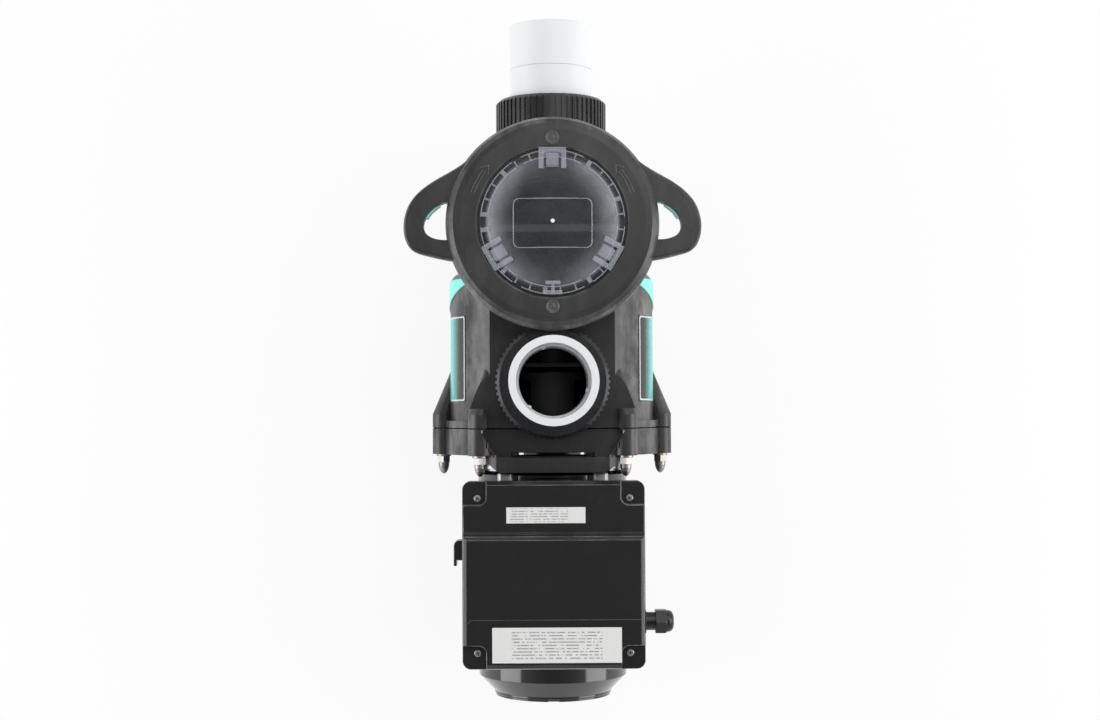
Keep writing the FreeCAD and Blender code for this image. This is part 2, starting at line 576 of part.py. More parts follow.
# ---------------------------------------------------------------- seal plate
def seal_plate():
    y0, y1 = housing_seat_y, plate_rear_y
    plate = flange_outline(y0, y1, flange_r)
    hood_front_w = pocket_front_half_w + 3.0
    hood = rod("y", flange_r, y1 - 1, y1 + hood_reach, 0, shaft_z)
    hood = hood.common(prism([(-hood_front_w, y1 - 2), (hood_front_w, y1 - 2), (hood_half_w, y1 + hood_reach - 2),
                              (hood_half_w - 4, y1 + hood_reach), (-hood_half_w + 4, y1 + hood_reach),
                              (-hood_half_w, y1 + hood_reach - 2)], hood_top_z - 30, 400))
    plate = plate.fuse(hood)
    plate = plate.cut(block(-hood_half_w, hood_half_w, y0 - 1, y1 + hood_reach + 1, hood_top_z, 400))
    pocket_rear = y1 + hood_reach - bar_t
    pocket = prism([(-pocket_front_half_w, y0 - 2), (pocket_front_half_w, y0 - 2),
                    (pocket_rear_half_w + 5, pocket_rear - 5), (pocket_rear_half_w - 1, pocket_rear),
                    (-pocket_rear_half_w + 1, pocket_rear), (-pocket_rear_half_w - 5, pocket_rear - 5)],
                   pocket_z, 400)
    plate = plate.cut(pocket)
    # hollow behind the front wall
    hollow = rod("y", flange_r - 9, y0 + plate_face_t, y1 + 1, 0, shaft_z)
    hollow = hollow.cut(block(-150, 150, 0, 200, pocket_z - 8, 400))
    plate = plate.cut(hollow)
    for i in range(12):
        rib = block(-2, 2, y0 + plate_face_t - 1, y1 - 4, shaft_z + 26, shaft_z + flange_r - 8)
        rib = turned(rib, 30 * i + 15, V(0, 0, shaft_z), AXIS_Y)
        plate = plate.fuse(rib.cut(block(-150, 150, 0, 200, pocket_z - 4, 400)))
    hub = rod("y", hub_r, y0 + plate_face_t - 1, bell_front_y - 2, 0, shaft_z)
    posts = [rod("y", 11, y0 + plate_face_t - 1, bell_front_y, x, z) for x, z in motor_bolt_places()]
    spigot = tube("y", chamber_r - run_gap, chamber_r - 9, y0 - 6, y0 + 1, 0, shaft_z)
    spigot = spigot.cut(block(-150, 150, 0, 200, housing_flat_z - 7 - run_gap, 400))
    pads = [rod("y", 8.0, housing_rear_y, y0 + 1, x, z) for x, z in stud_places()]
    plate = fused(plate, hub, spigot, *posts, *pads)
    plate = plate.cut(rod("y", seal_seat_r + 0.1, y0 - 1, seal_seat_y1, 0, shaft_z))
    plate = plate.cut(rod("y", shaft_core_r, y0 - 1, bell_front_y + 1, 0, shaft_z))
    holes = [rod("y", stud_r + 0.4, housing_rear_y - 1, y1 + 1, x, z) for x, z in stud_places()]
    holes += [rod("y", motor_bolt_r + 0.05, y0 + plate_face_t + 2, bell_front_y + 1, x, z)
              for x, z in motor_bolt_places()]
    slot = block(-45, 45, pocket_rear - 5, pocket_rear, pocket_z - 8, pocket_z + 1)
    grip = [block(side * (70.5 - 2.6 * i) - 0.5, side * (70.5 - 2.6 * i) + 0.5, y0 + 4 + 3.2 * i, y0 + 20 + 3.2 * i,
                  grip_floor(70.5 - 2.6 * i), 300) for side in (-1, 1) for i in range(4)]
    faces = [rod("y", spot_face_r, y1, y1 + 40, x, z) for x, z in stud_places()]
    return plate.cut(holes + faces + [slot] + grip)


def grip_floor(x):
    """Bottom of a grip groove 1 mm under the flange's round top at x."""
    return shaft_z + math.sqrt((flange_r - 1.0) ** 2 - x ** 2)


def motor_bolt_places():
    for a in (45, 135, 225, 315):
        t = math.radians(a)
        yield (motor_bolt_circle_r * math.cos(t), shaft_z + motor_bolt_circle_r * math.sin(t))


spot_face_r = 9.4            # room for a washer and a nut beside the hood
hub_r = 32.0
seal_seat_r = 21.0
seal_seat_y1 = housing_seat_y + 5.0
nodes["seal_plate"] = seal_plate()


def cap_nut(x, z):
    y = plate_rear_y + washer_t
    nut = hexagon("y", 13.0, y, y + 7.0, x, z, 30)
    dome = [(0, 0), (6.1, 0), (5.9, 4.0), (4.9, 8.0), (3.2, 11.0), (1.4, 12.6), (0, 13.0)]
    nut = nut.fuse(spun([(r, h) for r, h in dome], V(x, y + 6.9, z), AXIS_Y))
    return nut.cut(rod("y", stud_r + 0.05, y - 1, y + 9, x, z))


washer_t = 2.4
nodes["flange_studs"] = Part.makeCompound(
    [rod("y", stud_r, ear_front_y + 5, plate_rear_y + washer_t + 8, x, z) for x, z in stud_places()])
nodes["flange_washers"] = Part.makeCompound(
    [tube("y", 8.2, stud_r + 0.3, plate_rear_y, plate_rear_y + washer_t - 0.05, x, z) for x, z in stud_places()])
nodes["cap_nuts"] = Part.makeCompound([cap_nut(x, z) for x, z in stud_places()])


# ---------------------------------------------------------------- wet end
def diffuser():
    r = impeller_r + 13
    shell = tube("y", r, r - 4, -8, housing_seat_y, 0, shaft_z)
    face = tube("y", r, impeller_eye_r + 1, -11, -7, 0, shaft_z)
    mouth = tube("y", impeller_eye_r + 5, impeller_eye_r + 1, -15, -7, 0, shaft_z)
    part = fused(shell, face, mouth)
    vents = []
    for i in range(8):
        vent = block(r - 24, r + 11, -2, 30, shaft_z - 9, shaft_z + 9)
        vents.append(turned(vent, 45 * i + 22.5, V(0, 0, shaft_z), AXIS_Y))
    return part.cut(Part.makeCompound(vents))


def impeller():
    """Closed impeller: a flat back disc, a coned front shroud and six curved vanes between them."""
    at = V(0, 0, shaft_z)
    back = rod("y", impeller_r, 30, 34, 0, shaft_z)
    hub = rod("y", 15, 14, 40, 0, shaft_z)
    shroud = spun([(impeller_eye_r, -4), (impeller_eye_r + 3, -4), (impeller_eye_r + 3, 4.5), (impeller_r, 14),
                   (impeller_r, 16.5), (impeller_eye_r, 7.5)], at, AXIS_Y)
    room = spun([(22, 7), (impeller_eye_r + 1, 7), (impeller_r - 1, 15.5), (impeller_r - 1, 31), (22, 31)], at, AXIS_Y)
    curve = tube("y", 46, 43, 0, 40, 26, shaft_z).common(block(0, 90, 0, 40, shaft_z, shaft_z + 90))
    vane = curve.common(room)
    vanes = [turned(vane, 60 * i, at, AXIS_Y) for i in range(6)]
    part = fused(back, hub, shroud, *vanes)
    return part.cut(rod("y", shaft_r, 19, 41, 0, shaft_z)).cut(rod("y", 3.2, 10, 20, 0, shaft_z))


def impeller_screw():
    head = rod("y", 5.5, 9.4, 13.9, 0, shaft_z).cut(hexagon("y", 5, 9, 12, 0, shaft_z))
    return head.fuse(rod("y", 3.1, 13.9, 30, 0, shaft_z))


impeller_r = 70.0
impeller_eye_r = 26.0
nodes["diffuser"] = diffuser()
nodes["impeller"] = impeller()
nodes["impeller_screw"] = impeller_screw()
nodes["seal_seat"] = tube("y", seal_seat_r, 13.0, housing_seat_y - 1.0, seal_seat_y1 - 0.1, 0, shaft_z)
nodes["seal_head"] = fused(tube("y", 17.5, 15.05, 35, 40, 0, shaft_z), tube("y", 17.5, shaft_r, 40, 46.5, 0, shaft_z),
                           tube("y", 15.5, 13.0, 46.5, housing_seat_y - 1.05, 0, shaft_z))


# ---------------------------------------------------------------- motor
def front_bell():
    y0, y1 = bell_front_y, bell_front_y + bell_t
    bell = rod("y", motor_r + 3, y0 + 4, y1, 0, shaft_z).fuse(cone("y", motor_r - 1, motor_r + 3, y0, y0 + 4, 0, shaft_z))
    bell = bell.cut(rod("y", motor_r - motor_wall - 6, y0 + 7, front_bearing_y + 1, 0, shaft_z).cut(
        rod("y", bearing_out_r + 7, 0, 200, 0, shaft_z)))
    bell = bell.cut(rod("y", bearing_out_r, front_bearing_y, y1 + 1, 0, shaft_z))
    bell = bell.cut(rod("y", shaft_core_r + 1, y0 - 1, y1 + 1, 0, shaft_z))
    bell = bell.cut([rod("y", motor_bolt_r + 0.4, y0 - 1, y1 + 1, x, z) for x, z in motor_bolt_places()])
    ring = rod("y", motor_bolt_circle_r - 6, y0 + 8, y1 + 1, 0, shaft_z).cut(rod("y", bearing_out_r + 7, 0, 200, 0, shaft_z))
    sinks = [rod("y", 8.4, y0 + 8, y1 + 1, x, z) for x, z in motor_bolt_places()]
    return bell.cut([ring] + sinks)


def motor_body():
    y0, y1 = bell_front_y + bell_t, motor_rear_y
    shell = tube("y", motor_r, motor_r - motor_wall, y0, y1, 0, shaft_z)
    fins = []
    count = int(118 / fin_step)
    for i in range(-count, count + 1):
        fin = block(-fin_t / 2, fin_t / 2, y0 + 3, y1 - 3, motor_r - 2, motor_r + fin_h)
        fins.append(turned(fin, 180 + fin_step * i, V(0, 0, 0), AXIS_Y).translated(V(0, 0, shaft_z)))
    return shell.fuse(fins)


def rear_bell():
    bell = rod("y", cover_r - cover_wall - 0.6, motor_rear_y, motor_rear_y + 14, 0, shaft_z)
    bell = bell.cut(rod("y", bearing_out_r, rear_bearing_y - 1, rear_bearing_y + bearing_t, 0, shaft_z))
    hub = rod("y", bearing_out_r + 6, rear_bearing_y - 10, motor_rear_y + 14, 0, shaft_z)
    bell = bell.fuse(hub).cut(rod("y", bearing_out_r, rear_bearing_y - 11, rear_bearing_y + bearing_t, 0, shaft_z))
    holes = [turned(rod("z", 2.05, shaft_z + cover_r - 12, shaft_z + cover_r, 0, motor_rear_y + 7), a,
                    V(0, 0, shaft_z), AXIS_Y) for a in cover_screw_angles]
    return bell.cut([rod("y", shaft_r + 1, 200, 400, 0, shaft_z)] + holes)


def fan_cover():
    y0 = motor_rear_y + 0.4
    outline = [(cover_r - cover_wall, y0), (cover_r, y0), (cover_r, cover_taper_y), (cover_end_r + 1.2, cover_end_y - 5),
               (cover_end_r + 1.2, cover_end_y - 3), (cover_end_r, cover_end_y - 2), (cover_end_r, cover_end_y),
               (0, cover_end_y), (0, cover_end_y - cover_wall), (cover_end_r - 2.5, cover_end_y - cover_wall),
               (cover_end_r - 2.0, cover_end_y - 5.5), (cover_r - cover_wall, cover_taper_y - 1)]
    cover = spun([(r, y) for r, y in outline], V(0, 0, shaft_z), AXIS_Y)
    slots = []
    for ring, count in ((20, 8), (34, 14), (48, 20)):
        for i in range(count):
            slot = block(ring - 4.5, ring + 4.5, cover_end_y - 10, cover_end_y + 5, -2.6, 2.6)
            slots.append(turned(slot, 360.0 / count * i, V(0, 0, 0), AXIS_Y).translated(V(0, 0, shaft_z)))
    slots.append(block(-6, 6, cover_end_y - 2, cover_end_y + 2, shaft_z + cover_end_r - 3, shaft_z + cover_end_r + 3))
    cover = cover.cut(slots)
    screws = [turned(rod("z", 2.3, shaft_z + cover_r - 6, shaft_z + cover_r + 4, 0, motor_rear_y + 7), a,
                     V(0, 0, shaft_z), AXIS_Y) for a in cover_screw_angles]
    return cover.cut(screws)


def cover_screw(angle):
    y = motor_rear_y + 7
    screw = rod("z", 2.0, shaft_z + cover_r - 9, shaft_z + cover_r + 0.2, 0, y)
    screw = screw.fuse(rod("z", 4.0, shaft_z + cover_r + 0.05, shaft_z + cover_r + 2.4, 0, y))
    screw = screw.cut(block(-3, 3, y - 0.5, y + 0.5, shaft_z + cover_r + 1.4, shaft_z + cover_r + 5))
    return turned(screw, angle, V(0, 0, shaft_z), AXIS_Y)


def cooling_fan():
    hub = rod("y", 16, fan_y, fan_y + 18, 0, shaft_z)
    disc = rod("y", fan_r - 6, fan_y, fan_y + 2.5, 0, shaft_z)
    blades = []
    for i in range(9):
        blade = block(14, fan_r, fan_y, fan_y + 18, -1.2, 1.2)
        blades.append(turned(blade, 40 * i, V(0, 0, 0), AXIS_Y).translated(V(0, 0, shaft_z)))
    fan = fused(hub, disc, *blades)
    return fan.cut(rod("y", shaft_r - 1, fan_y - 1, fan_y + 30, 0, shaft_z))


def motor_shaft():
    shaft = fused(rod("y", shaft_r, 19.1, front_bearing_y - 2, 0, shaft_z),
                  rod("y", shaft_core_r - 1, housing_seat_y + 12, front_bearing_y - 0.5, 0, shaft_z),
                  rod("y", bearing_in_r, front_bearing_y - 1, rear_bearing_y + bearing_t, 0, shaft_z),
                  rod("y", shaft_core_r, front_bearing_y + bearing_t + 0.5, rear_bearing_y - 0.5, 0, shaft_z),
                  rod("y", shaft_r - 1, rear_bearing_y, fan_y + 20, 0, shaft_z))
    return shaft.cut(rod("y", 3.15, 19, 31, 0, shaft_z))


def bearing_rings(inner, y):
    mid = (bearing_in_r + bearing_out_r) / 2
    if inner:
        ring = tube("y", mid - 2.0, bearing_in_r, y, y + bearing_t, 0, shaft_z)
    else:
        ring = tube("y", bearing_out_r, mid + 2.0, y, y + bearing_t, 0, shaft_z)
    return ring.cut(Part.makeTorus(mid, ball_r + 0.05, V(0, y + bearing_t / 2, shaft_z), AXIS_Y))


def bearing_balls(y):
    mid = (bearing_in_r + bearing_out_r) / 2
    for i in range(8):
        t = math.radians(45 * i)
        yield Part.makeSphere(ball_r, V(mid * math.cos(t), y + bearing_t / 2, shaft_z + mid * math.sin(t)))


def motor_bolt(x, z):
    y = bell_front_y + 8
    return rod("y", motor_bolt_r, housing_seat_y + plate_face_t + 4, y + 2, x, z).fuse(
        hexagon("y", 13, y + 0.1, y + 5.6, x, z))


nodes["front_bell"] = front_bell()
nodes["motor_body"] = motor_body()
nodes["rear_bell"] = rear_bell()
nodes["fan_cover"] = fan_cover()
nodes["fan_cover_screws"] = Part.makeCompound([cover_screw(a) for a in cover_screw_angles])
nodes["motor_bolts"] = Part.makeCompound([motor_bolt(x, z) for x, z in motor_bolt_places()])
nodes["motor_shaft"] = motor_shaft()
nodes["rotor_core"] = tube("y", rotor_r, shaft_core_r, core_y0, core_y1, 0, shaft_z)
nodes["stator_core"] = tube("y", motor_r - motor_wall, rotor_r + air_gap, core_y0, core_y1, 0, shaft_z)
nodes["stator_windings"] = Part.makeCompound(
    [tube("y", motor_r - motor_wall - 7, rotor_r + 5.6, a, b, 0, shaft_z) for a, b in ((core_y0 - 13, core_y0), (core_y1, core_y1 + 13))])
nodes["cooling_fan"] = cooling_fan()
nodes["bearing_outer_rings"] = Part.makeCompound([bearing_rings(False, y) for y in (front_bearing_y, rear_bearing_y)])
nodes["bearing_inner_rings"] = Part.makeCompound([bearing_rings(True, y) for y in (front_bearing_y, rear_bearing_y)])
nodes["bearing_balls"] = Part.makeCompound(
    [b for y in (front_bearing_y, rear_bearing_y) for b in bearing_balls(y)])


# ---------------------------------------------------------------- drive box
def corner_block(half_x, y0, y1, z0, z1, r):
    shape = block(-half_x, half_x, y0, y1, z0, z1)
    return rounded(shape, r, lambda e: abs(e.BoundBox.ZLength - (z1 - z0)) < 0.01)


def drive_base():
    tray = corner_block(box_half_x - 3, box_y0 + 3, box_y1 - 3, box_floor_z, box_split_z, box_corner_r - 2)
    inner = corner_block(box_half_x - 3 - box_wall, box_y0 + 3 + box_wall, box_y1 - 3 - box_wall,
                         box_floor_z + box_wall, box_split_z + 1, box_corner_r - 4)
    tray = tray.cut(inner)
    for side in (-1, 1):
        for y in (screw_y0, screw_y1):
            tray = tray.fuse(rod("z", 6, box_floor_z + 1, box_split_z, side * screw_x, y))
    saddle = block(-52, 52, box_y0 + 18, box_y1 - 16, shaft_z + motor_r - 30, box_floor_z + 1)
    saddle = saddle.cut(block(-20, 20, 0, 400, 0, box_floor_z))
    saddle = saddle.cut(rod("y", motor_r + 0.15, 0, 400, 0, shaft_z))
    tray = tray.fuse(saddle)
    tray = tray.cut([rod("z", 1.9, box_floor_z + 10, box_split_z + 1, side * screw_x, y)
                     for side in (-1, 1) for y in (screw_y0, screw_y1)])
    tray = tray.cut(rod("x", gland_thread_r + 0.1, -box_half_x - 2, -box_half_x + 12, gland_y, gland_z))
    return tray.cut(rod("x", 4.1, box_half_x - 12, box_half_x + 2, clip_y, gland_z))


def drive_gasket():
    frame = corner_block(box_half_x - 3.5, box_y0 + 3.5, box_y1 - 3.5, box_split_z + 0.02, box_split_z + box_seal_t - 0.02,
                         box_corner_r - 2.5)
    inner = corner_block(box_half_x - 3 - box_wall, box_y0 + 3 + box_wall, box_y1 - 3 - box_wall,
                         box_split_z - 1, box_split_z + 3, box_corner_r - 4)
    return frame.cut(inner)


def drive_cover():
    """Shallow lid: a plateau in three bands between four lowered screw corners."""
    z0, z1 = box_split_z + box_seal_t, box_top_z
    profile = [(box_y0, z0), (box_y0, z1 - 6), (box_y0 + 4, z1 - 2), (band_y0, z1 - 2), (band_y0 + 2, z1 - 2.8),
               (band_y0 + 4.5, z1 - 2.8), (band_y0 + 8, z1), (box_y1 - 5, z1), (box_y1 - 1.5, z1 - 2), (box_y1, z1 - 6), (box_y1, z0)]
    wire = Part.makePolygon([V(-box_half_x, y, z) for y, z in profile + profile[:1]])
    lid = Part.Face(wire).extrude(V(2 * box_half_x, 0, 0))
    lid = lid.common(corner_block(box_half_x, box_y0, box_y1, z0 - 1, z1 + 1, box_corner_r))
    bevel = [(-box_half_x, z0 - 1), (-box_half_x, z1 - 5), (-box_half_x + 1.2, z1 - 1.6), (-box_half_x + 4.5, z1)]
    lid = lid.common(prism_y(bevel + [(-x, z) for x, z in reversed(bevel)], box_y0 - 1, box_y1 + 1))
    for side in (-1, 1):
        for y, inward in ((box_y0, 1), (box_y1, -1)):
            a, b = sorted((y - inward * 2, y + inward * pad_size))
            c, d = sorted((side * (box_half_x + 2), side * (box_half_x - pad_size)))
            notch = block(c, d, a, b, z1 - pad_drop - 3, z1 + 5)
            notch = rounded(notch, 8, lambda e: e.BoundBox.ZLength > 10
                            and abs(e.BoundBox.XMin - side * (box_half_x - pad_size)) < 0.01
                            and abs(e.BoundBox.YMin - (y + inward * pad_size)) < 0.01)
            lid = lid.cut(notch)
    inner = corner_block(box_half_x - box_wall, box_y0 + box_wall, box_y1 - box_wall, z0 - 1, z1 - 12, box_corner_r - 3)
    lid = lid.cut(inner)
    for side in (-1, 1):
        for y in (screw_y0, screw_y1):
            lid = lid.fuse(rod("z", 6, z0, z1 - 11, side * screw_x, y))
            lid = lid.cut(rod("z", 2.2, z0 - 1, z1 + 1, side * screw_x, y))
    return lid


def box_screw(x, y):
    top = box_top_z - pad_drop - 3
    shank = rod("z", 1.85, box_floor_z + 14, top + 0.5, x, y)
    head = rod("z", 4.0, top + 0.02, top + 2.6, x, y)
    head = head.makeFillet(1.6, [e for e in head.Edges if e.BoundBox.ZMin > top + 2.5])
    cross = block(x - 2.2, x + 2.2, y - 0.5, y + 0.5, top + 1.2, top + 4).fuse(
        block(x - 0.5, x + 0.5, y - 2.2, y + 2.2, top + 1.2, top + 4))
    return shank.fuse(head).cut(cross)


def control_board():
    half_x, y0, y1 = box_half_x - 23, box_y0 + 23, box_y1 - 22
    board = block(-half_x, half_x, y0, y1, board_z, board_z + 1.6)
    legs = [rod("z", 3, box_floor_z + box_wall, board_z, x, y) for x in (6 - half_x, half_x - 6) for y in (y0 + 6, y1 - 6)]
    return fused(board, *legs)


nodes["drive_base"] = drive_base()
nodes["drive_gasket"] = drive_gasket()
nodes["drive_cover"] = drive_cover()
nodes["cover_screws"] = Part.makeCompound([box_screw(side * screw_x, y) for side in (-1, 1) for y in (screw_y0, screw_y1)])
nodes["control_board"] = control_board()
nodes["board_parts"] = Part.makeCompound([rod("z", 11, board_z + 1.65, board_z + 32, x, box_y0 + 47) for x in (-52, -26, 0)]
                                        + [block(-70, -40, box_y1 - 62, box_y1 - 32, board_z + 1.65, board_z + 16)])
nodes["rating_label"] = block(-33, 49, box_y0 + 27, box_y0 + 43.5, box_top_z - 2, box_top_z - 1.6)
nodes["notice_label"] = block(-70, 64, box_y1 - 44, box_y1 - 7.5, box_top_z, box_top_z + 0.4)


# ---------------------------------------------------------------- gland and cable clip
def gland_body():
    x = gland_x
    hexa = hexagon("x", 24, x - 5.5, x, gland_y, gland_z, 30)
    thread = rod("x", gland_thread_r - 0.2, x - 24, x - 4, gland_y, gland_z)
    inner = rod("x", gland_thread_r - 0.1, x - 1, x + 12, gland_y, gland_z)
    return fused(hexa, thread, inner).cut(rod("x", 6.5, x - 26, x + 20, gland_y, gland_z))


def gland_nut():
    x = gland_x
    nut = hexagon("x", 24, x - 27, x - 15.5, gland_y, gland_z, 30)
    nut = nut.common(spun([(0, 0), (12.4, 0), (13.9, 2.2), (13.9, 13), (0, 13)],
                          V(x - 27.5, gland_y, gland_z), AXIS_X))
    dome = spun([(0, 0), (11.6, 0), (11.4, 3.0), (10.2, 5.6), (8.2, 7.2), (0, 7.2)],
                V(x - 26.9, gland_y, gland_z), -AXIS_X)
    nut = nut.fuse(dome)
    nut = nut.cut(rod("x", gland_thread_r + 0.1, x - 28, x - 13, gland_y, gland_z))
    return nut.cut(rod("x", 6.4, x - 40, x - 10, gland_y, gland_z))


def gland_seal():
    """Rubber sleeve that the nut squeezes round the cable; its collar sits between body and nut."""
    x = gland_x
    sleeve = tube("x", 6.3, 4.6, x - 34.6, x - 8, gland_y, gland_z)
    return sleeve.fuse(tube("x", 9.4, 4.6, x - 27.6, x - 24.3, gland_y, gland_z))


def cable_clip():
    """Snap clip on the box's side: an outer jaw and an inner plate, open towards the rear."""
    x0 = box_half_x - 3
    jaw = block(x0, x0 + 13, clip_y - 12, clip_y + 15, gland_z - 11, gland_z + 11)
    jaw = rounded(jaw, 6, lambda e: e.BoundBox.ZLength > 15 and e.BoundBox.XMin > x0 + 12 and e.BoundBox.YMax < clip_y)
    jaw = jaw.cut(block(x0 + 3.5, x0 + 10, clip_y + 9, clip_y + 16, gland_z - 12, gland_z + 12))
    jaw = jaw.fuse(block(x0, x0 + 3.5, clip_y + 8, clip_y + 17, gland_z - 8, gland_z + 8))
    return jaw.fuse(rod("x", 4, x0 - 7, x0 + 1, clip_y, gland_z))


nodes["gland_body"] = gland_body()
nodes["gland_locknut"] = hexagon("x", 24, gland_x + box_wall + 0.05, gland_x + box_wall + 4, gland_y, gland_z, 30).cut(
    rod("x", gland_thread_r, -100, 0, gland_y, gland_z))
nodes["gland_seal"] = gland_seal()
nodes["gland_nut"] = gland_nut()
nodes["cable_clip"] = cable_clip()


# ---------------------------------------------------------------- drain plugs
def drain_plug(direction, seat, outward, u, v):
    inner = seat - outward * 22
    plug = rod(direction, drain_r, *sorted((inner, seat + outward * 3.2)), u, v)
    head = rod(direction, 14, *sorted((seat + outward * 3.1, seat + outward * 9)), u, v)
    wing = {"y": block(u - 3, u + 3, *sorted((seat + outward * 8, seat + outward * 20)), v - 13, v + 13),
            "x": block(*sorted((seat + outward * 8, seat + outward * 20)), u - 3, u + 3, v - 13, v + 13)}[direction]
    return fused(plug, head, wing)


def drain_o_ring(direction, seat, outward, u, v):
    return o_ring(direction, 11.4, 1.5, seat + outward * 1.55, u, v)


nodes["pot_drain_plug"] = drain_plug("y", pot_drain_y, -1, pot_drain_x, pot_drain_z)
nodes["pot_drain_o_ring"] = drain_o_ring("y", pot_drain_y, -1, pot_drain_x, pot_drain_z)
nodes["volute_drain_plug"] = drain_plug("x", volute_drain_x, 1, volute_drain_y, volute_drain_z)
nodes["volute_drain_o_ring"] = drain_o_ring("x", volute_drain_x, 1, volute_drain_y, volute_drain_z)


# ---------------------------------------------------------------- badges and trim
def side_shell(r_in, r_out, y0, y1, z0, z1):
    """Piece of a thin tube round the housing, on the +X side between two heights."""
    shell = tube("y", r_out, r_in, y0, y1, 0, shaft_z)
    return shell.common(block(20, 200, y0 - 1, y1 + 1, z0, z1))


def shoulder_trim():
    """Coloured piece that wraps the housing's front shoulder, on the +X side."""
    outer = rod("y", housing_r + 1.2, housing_front_y + 0.5, -60, 0, shaft_z)
    outer = rounded(outer, shoulder_r, lambda e: e.BoundBox.YMax < housing_front_y + 1 and e.Length > 100)
    inner = rod("y", housing_r + 0.05, housing_front_y - 1, -59, 0, shaft_z)
    front, mid = housing_front_y, shaft_z
    side = [(front - 3, mid + 71), (front + 15, mid + 71), (front + 43, mid), (front + 48, mid - 25),
            (front + 48, mid - 69), (front - 3, mid - 69)]
    wire = Part.makePolygon([V(60, y, z) for y, z in side + side[:1]])
    return outer.cut(inner).common(Part.Face(wire).extrude(V(100, 0, 0)))


def side_badge():
    return side_shell(housing_r + 0.05, housing_r + 0.6, badge_y0, badge_y1, badge_z0, badge_z1)


badge_y0, badge_y1 = housing_front_y + 51.5, 20.0
badge_z0, badge_z1 = shaft_z + 16.0, shaft_z + 63.0
nodes["side_badges"] = Part.makeCompound([side_badge(), mirrored(side_badge())])
nodes["shoulder_trims"] = Part.makeCompound([shoulder_trim(), mirrored(shoulder_trim())])


# ---------------------------------------------------------------- base and motor foot
def pump_base():
    plate = block(-base_half_x, base_half_x, -base_half_y, base_half_y, 0, base_plate_t)
    tongue = block(-rail_x, rail_x, pot_y - 62, 5 - base_half_y, 0, base_plate_t)
    plate = rounded(plate.fuse(tongue), 8, lambda e: abs(e.BoundBox.ZLength - base_plate_t) < 0.01
                    and abs(e.BoundBox.XMin) > rail_x - 1)
    rails = [block(side * rail_x - rail_half_w, side * rail_x + rail_half_w, -52, 16, base_plate_t - 1, base_top_z)
             for side in (-1, 1)]
    base = fused(plate, *rails)
    base = base.cut(block(-base_half_x + 30, base_half_x - 30, 15 - bolt_y, 4, -1, base_plate_t - 4))
    base = base.cut([rod("z", bolt_hole_r, -1, base_plate_t + 1, sx * bolt_x, sy * bolt_y) for sx in (-1, 1) for sy in (-1, 1)])
    return base.cut([rod("z", 3.1, -1, base_top_z + 1, side * rail_x, y) for side in (-1, 1) for y in (-36, 0)]
                    + [rod("z", 6.5, -1, base_plate_t + 20, side * rail_x, y) for side in (-1, 1) for y in (-36, 0)])


def motor_foot():
    foot = block(-60, 60, motor_rear_y - 50, motor_rear_y - 10, 0, shaft_z - 40)
    foot = foot.cut(rod("y", motor_r + fin_h + run_gap, 0, 400, 0, shaft_z))
    arch = rod("y", 26, 0, 400, 0, 0).fuse(block(-26, 26, 0, 400, -1, 12))
    return foot.cut(arch)


nodes["pump_base"] = pump_base()
nodes["motor_foot"] = motor_foot()

for name, shape in nodes.items():
    save(name, shape)
print(len(nodes), "nodes")
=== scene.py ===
import bpy
import bmesh
import json
import math
from mathutils import Matrix, Vector
from mathutils.bvhtree import BVHTree


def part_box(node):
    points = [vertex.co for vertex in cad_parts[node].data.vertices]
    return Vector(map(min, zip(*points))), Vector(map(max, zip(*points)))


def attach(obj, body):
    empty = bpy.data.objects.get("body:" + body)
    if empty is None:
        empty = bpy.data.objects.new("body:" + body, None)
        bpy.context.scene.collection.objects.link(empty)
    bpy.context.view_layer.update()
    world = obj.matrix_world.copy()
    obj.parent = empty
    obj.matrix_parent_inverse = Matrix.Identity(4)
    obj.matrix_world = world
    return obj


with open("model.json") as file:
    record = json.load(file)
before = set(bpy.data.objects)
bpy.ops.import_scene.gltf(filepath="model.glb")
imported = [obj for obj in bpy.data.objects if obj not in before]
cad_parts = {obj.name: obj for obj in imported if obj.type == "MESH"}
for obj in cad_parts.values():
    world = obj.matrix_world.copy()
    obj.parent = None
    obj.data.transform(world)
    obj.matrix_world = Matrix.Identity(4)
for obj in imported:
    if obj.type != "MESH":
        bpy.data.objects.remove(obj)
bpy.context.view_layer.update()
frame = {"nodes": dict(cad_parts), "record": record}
nodes = frame["nodes"]
print("frame loaded:", len(nodes), "nodes")


# Shorthand for building node trees.

def newMaterial(name):
    mat = bpy.data.materials.new(name)
    mat.use_nodes = True
    tree = mat.node_tree
    tree.nodes.clear()
    out = tree.nodes.new("ShaderNodeOutputMaterial")
    return mat, tree, out


def put(tree, kind, inputs=None, **props):
    node = tree.nodes.new(kind)
    for key, value in props.items():
        setattr(node, key, value)
    for key, value in (inputs or {}).items():
        if isinstance(value, bpy.types.NodeSocket):
            tree.links.new(value, node.inputs[key])
        else:
            node.inputs[key].default_value = value
    return node


def calc(tree, op, a, b=0.0, clamp=False):
    node = put(tree, "ShaderNodeMath", {0: a, 1: b}, operation=op)
    node.use_clamp = clamp
    return node.outputs[0]


def scaleAdd(tree, value, scale, offset):
    return put(tree, "ShaderNodeMath", {0: value, 1: scale, 2: offset}, operation="MULTIPLY_ADD").outputs[0]


def blendColor(tree, factor, a, b):
    node = put(tree, "ShaderNodeMix", {0: factor, 6: a, 7: b}, data_type="RGBA")
    return node.outputs[2]


def ramp(tree, value, low, high):
    node = put(tree, "ShaderNodeMapRange", {0: value, 1: low, 2: high, 3: 0.0, 4: 1.0})
    return node.outputs[0]


def rgba(color):
    return (color[0], color[1], color[2], 1.0)


def noise(tree, coords, scale, detail, rough):
    return put(tree, "ShaderNodeTexNoise", {"Vector": coords, "Scale": scale, "Detail": detail,
                                            "Roughness": rough}).outputs[0]


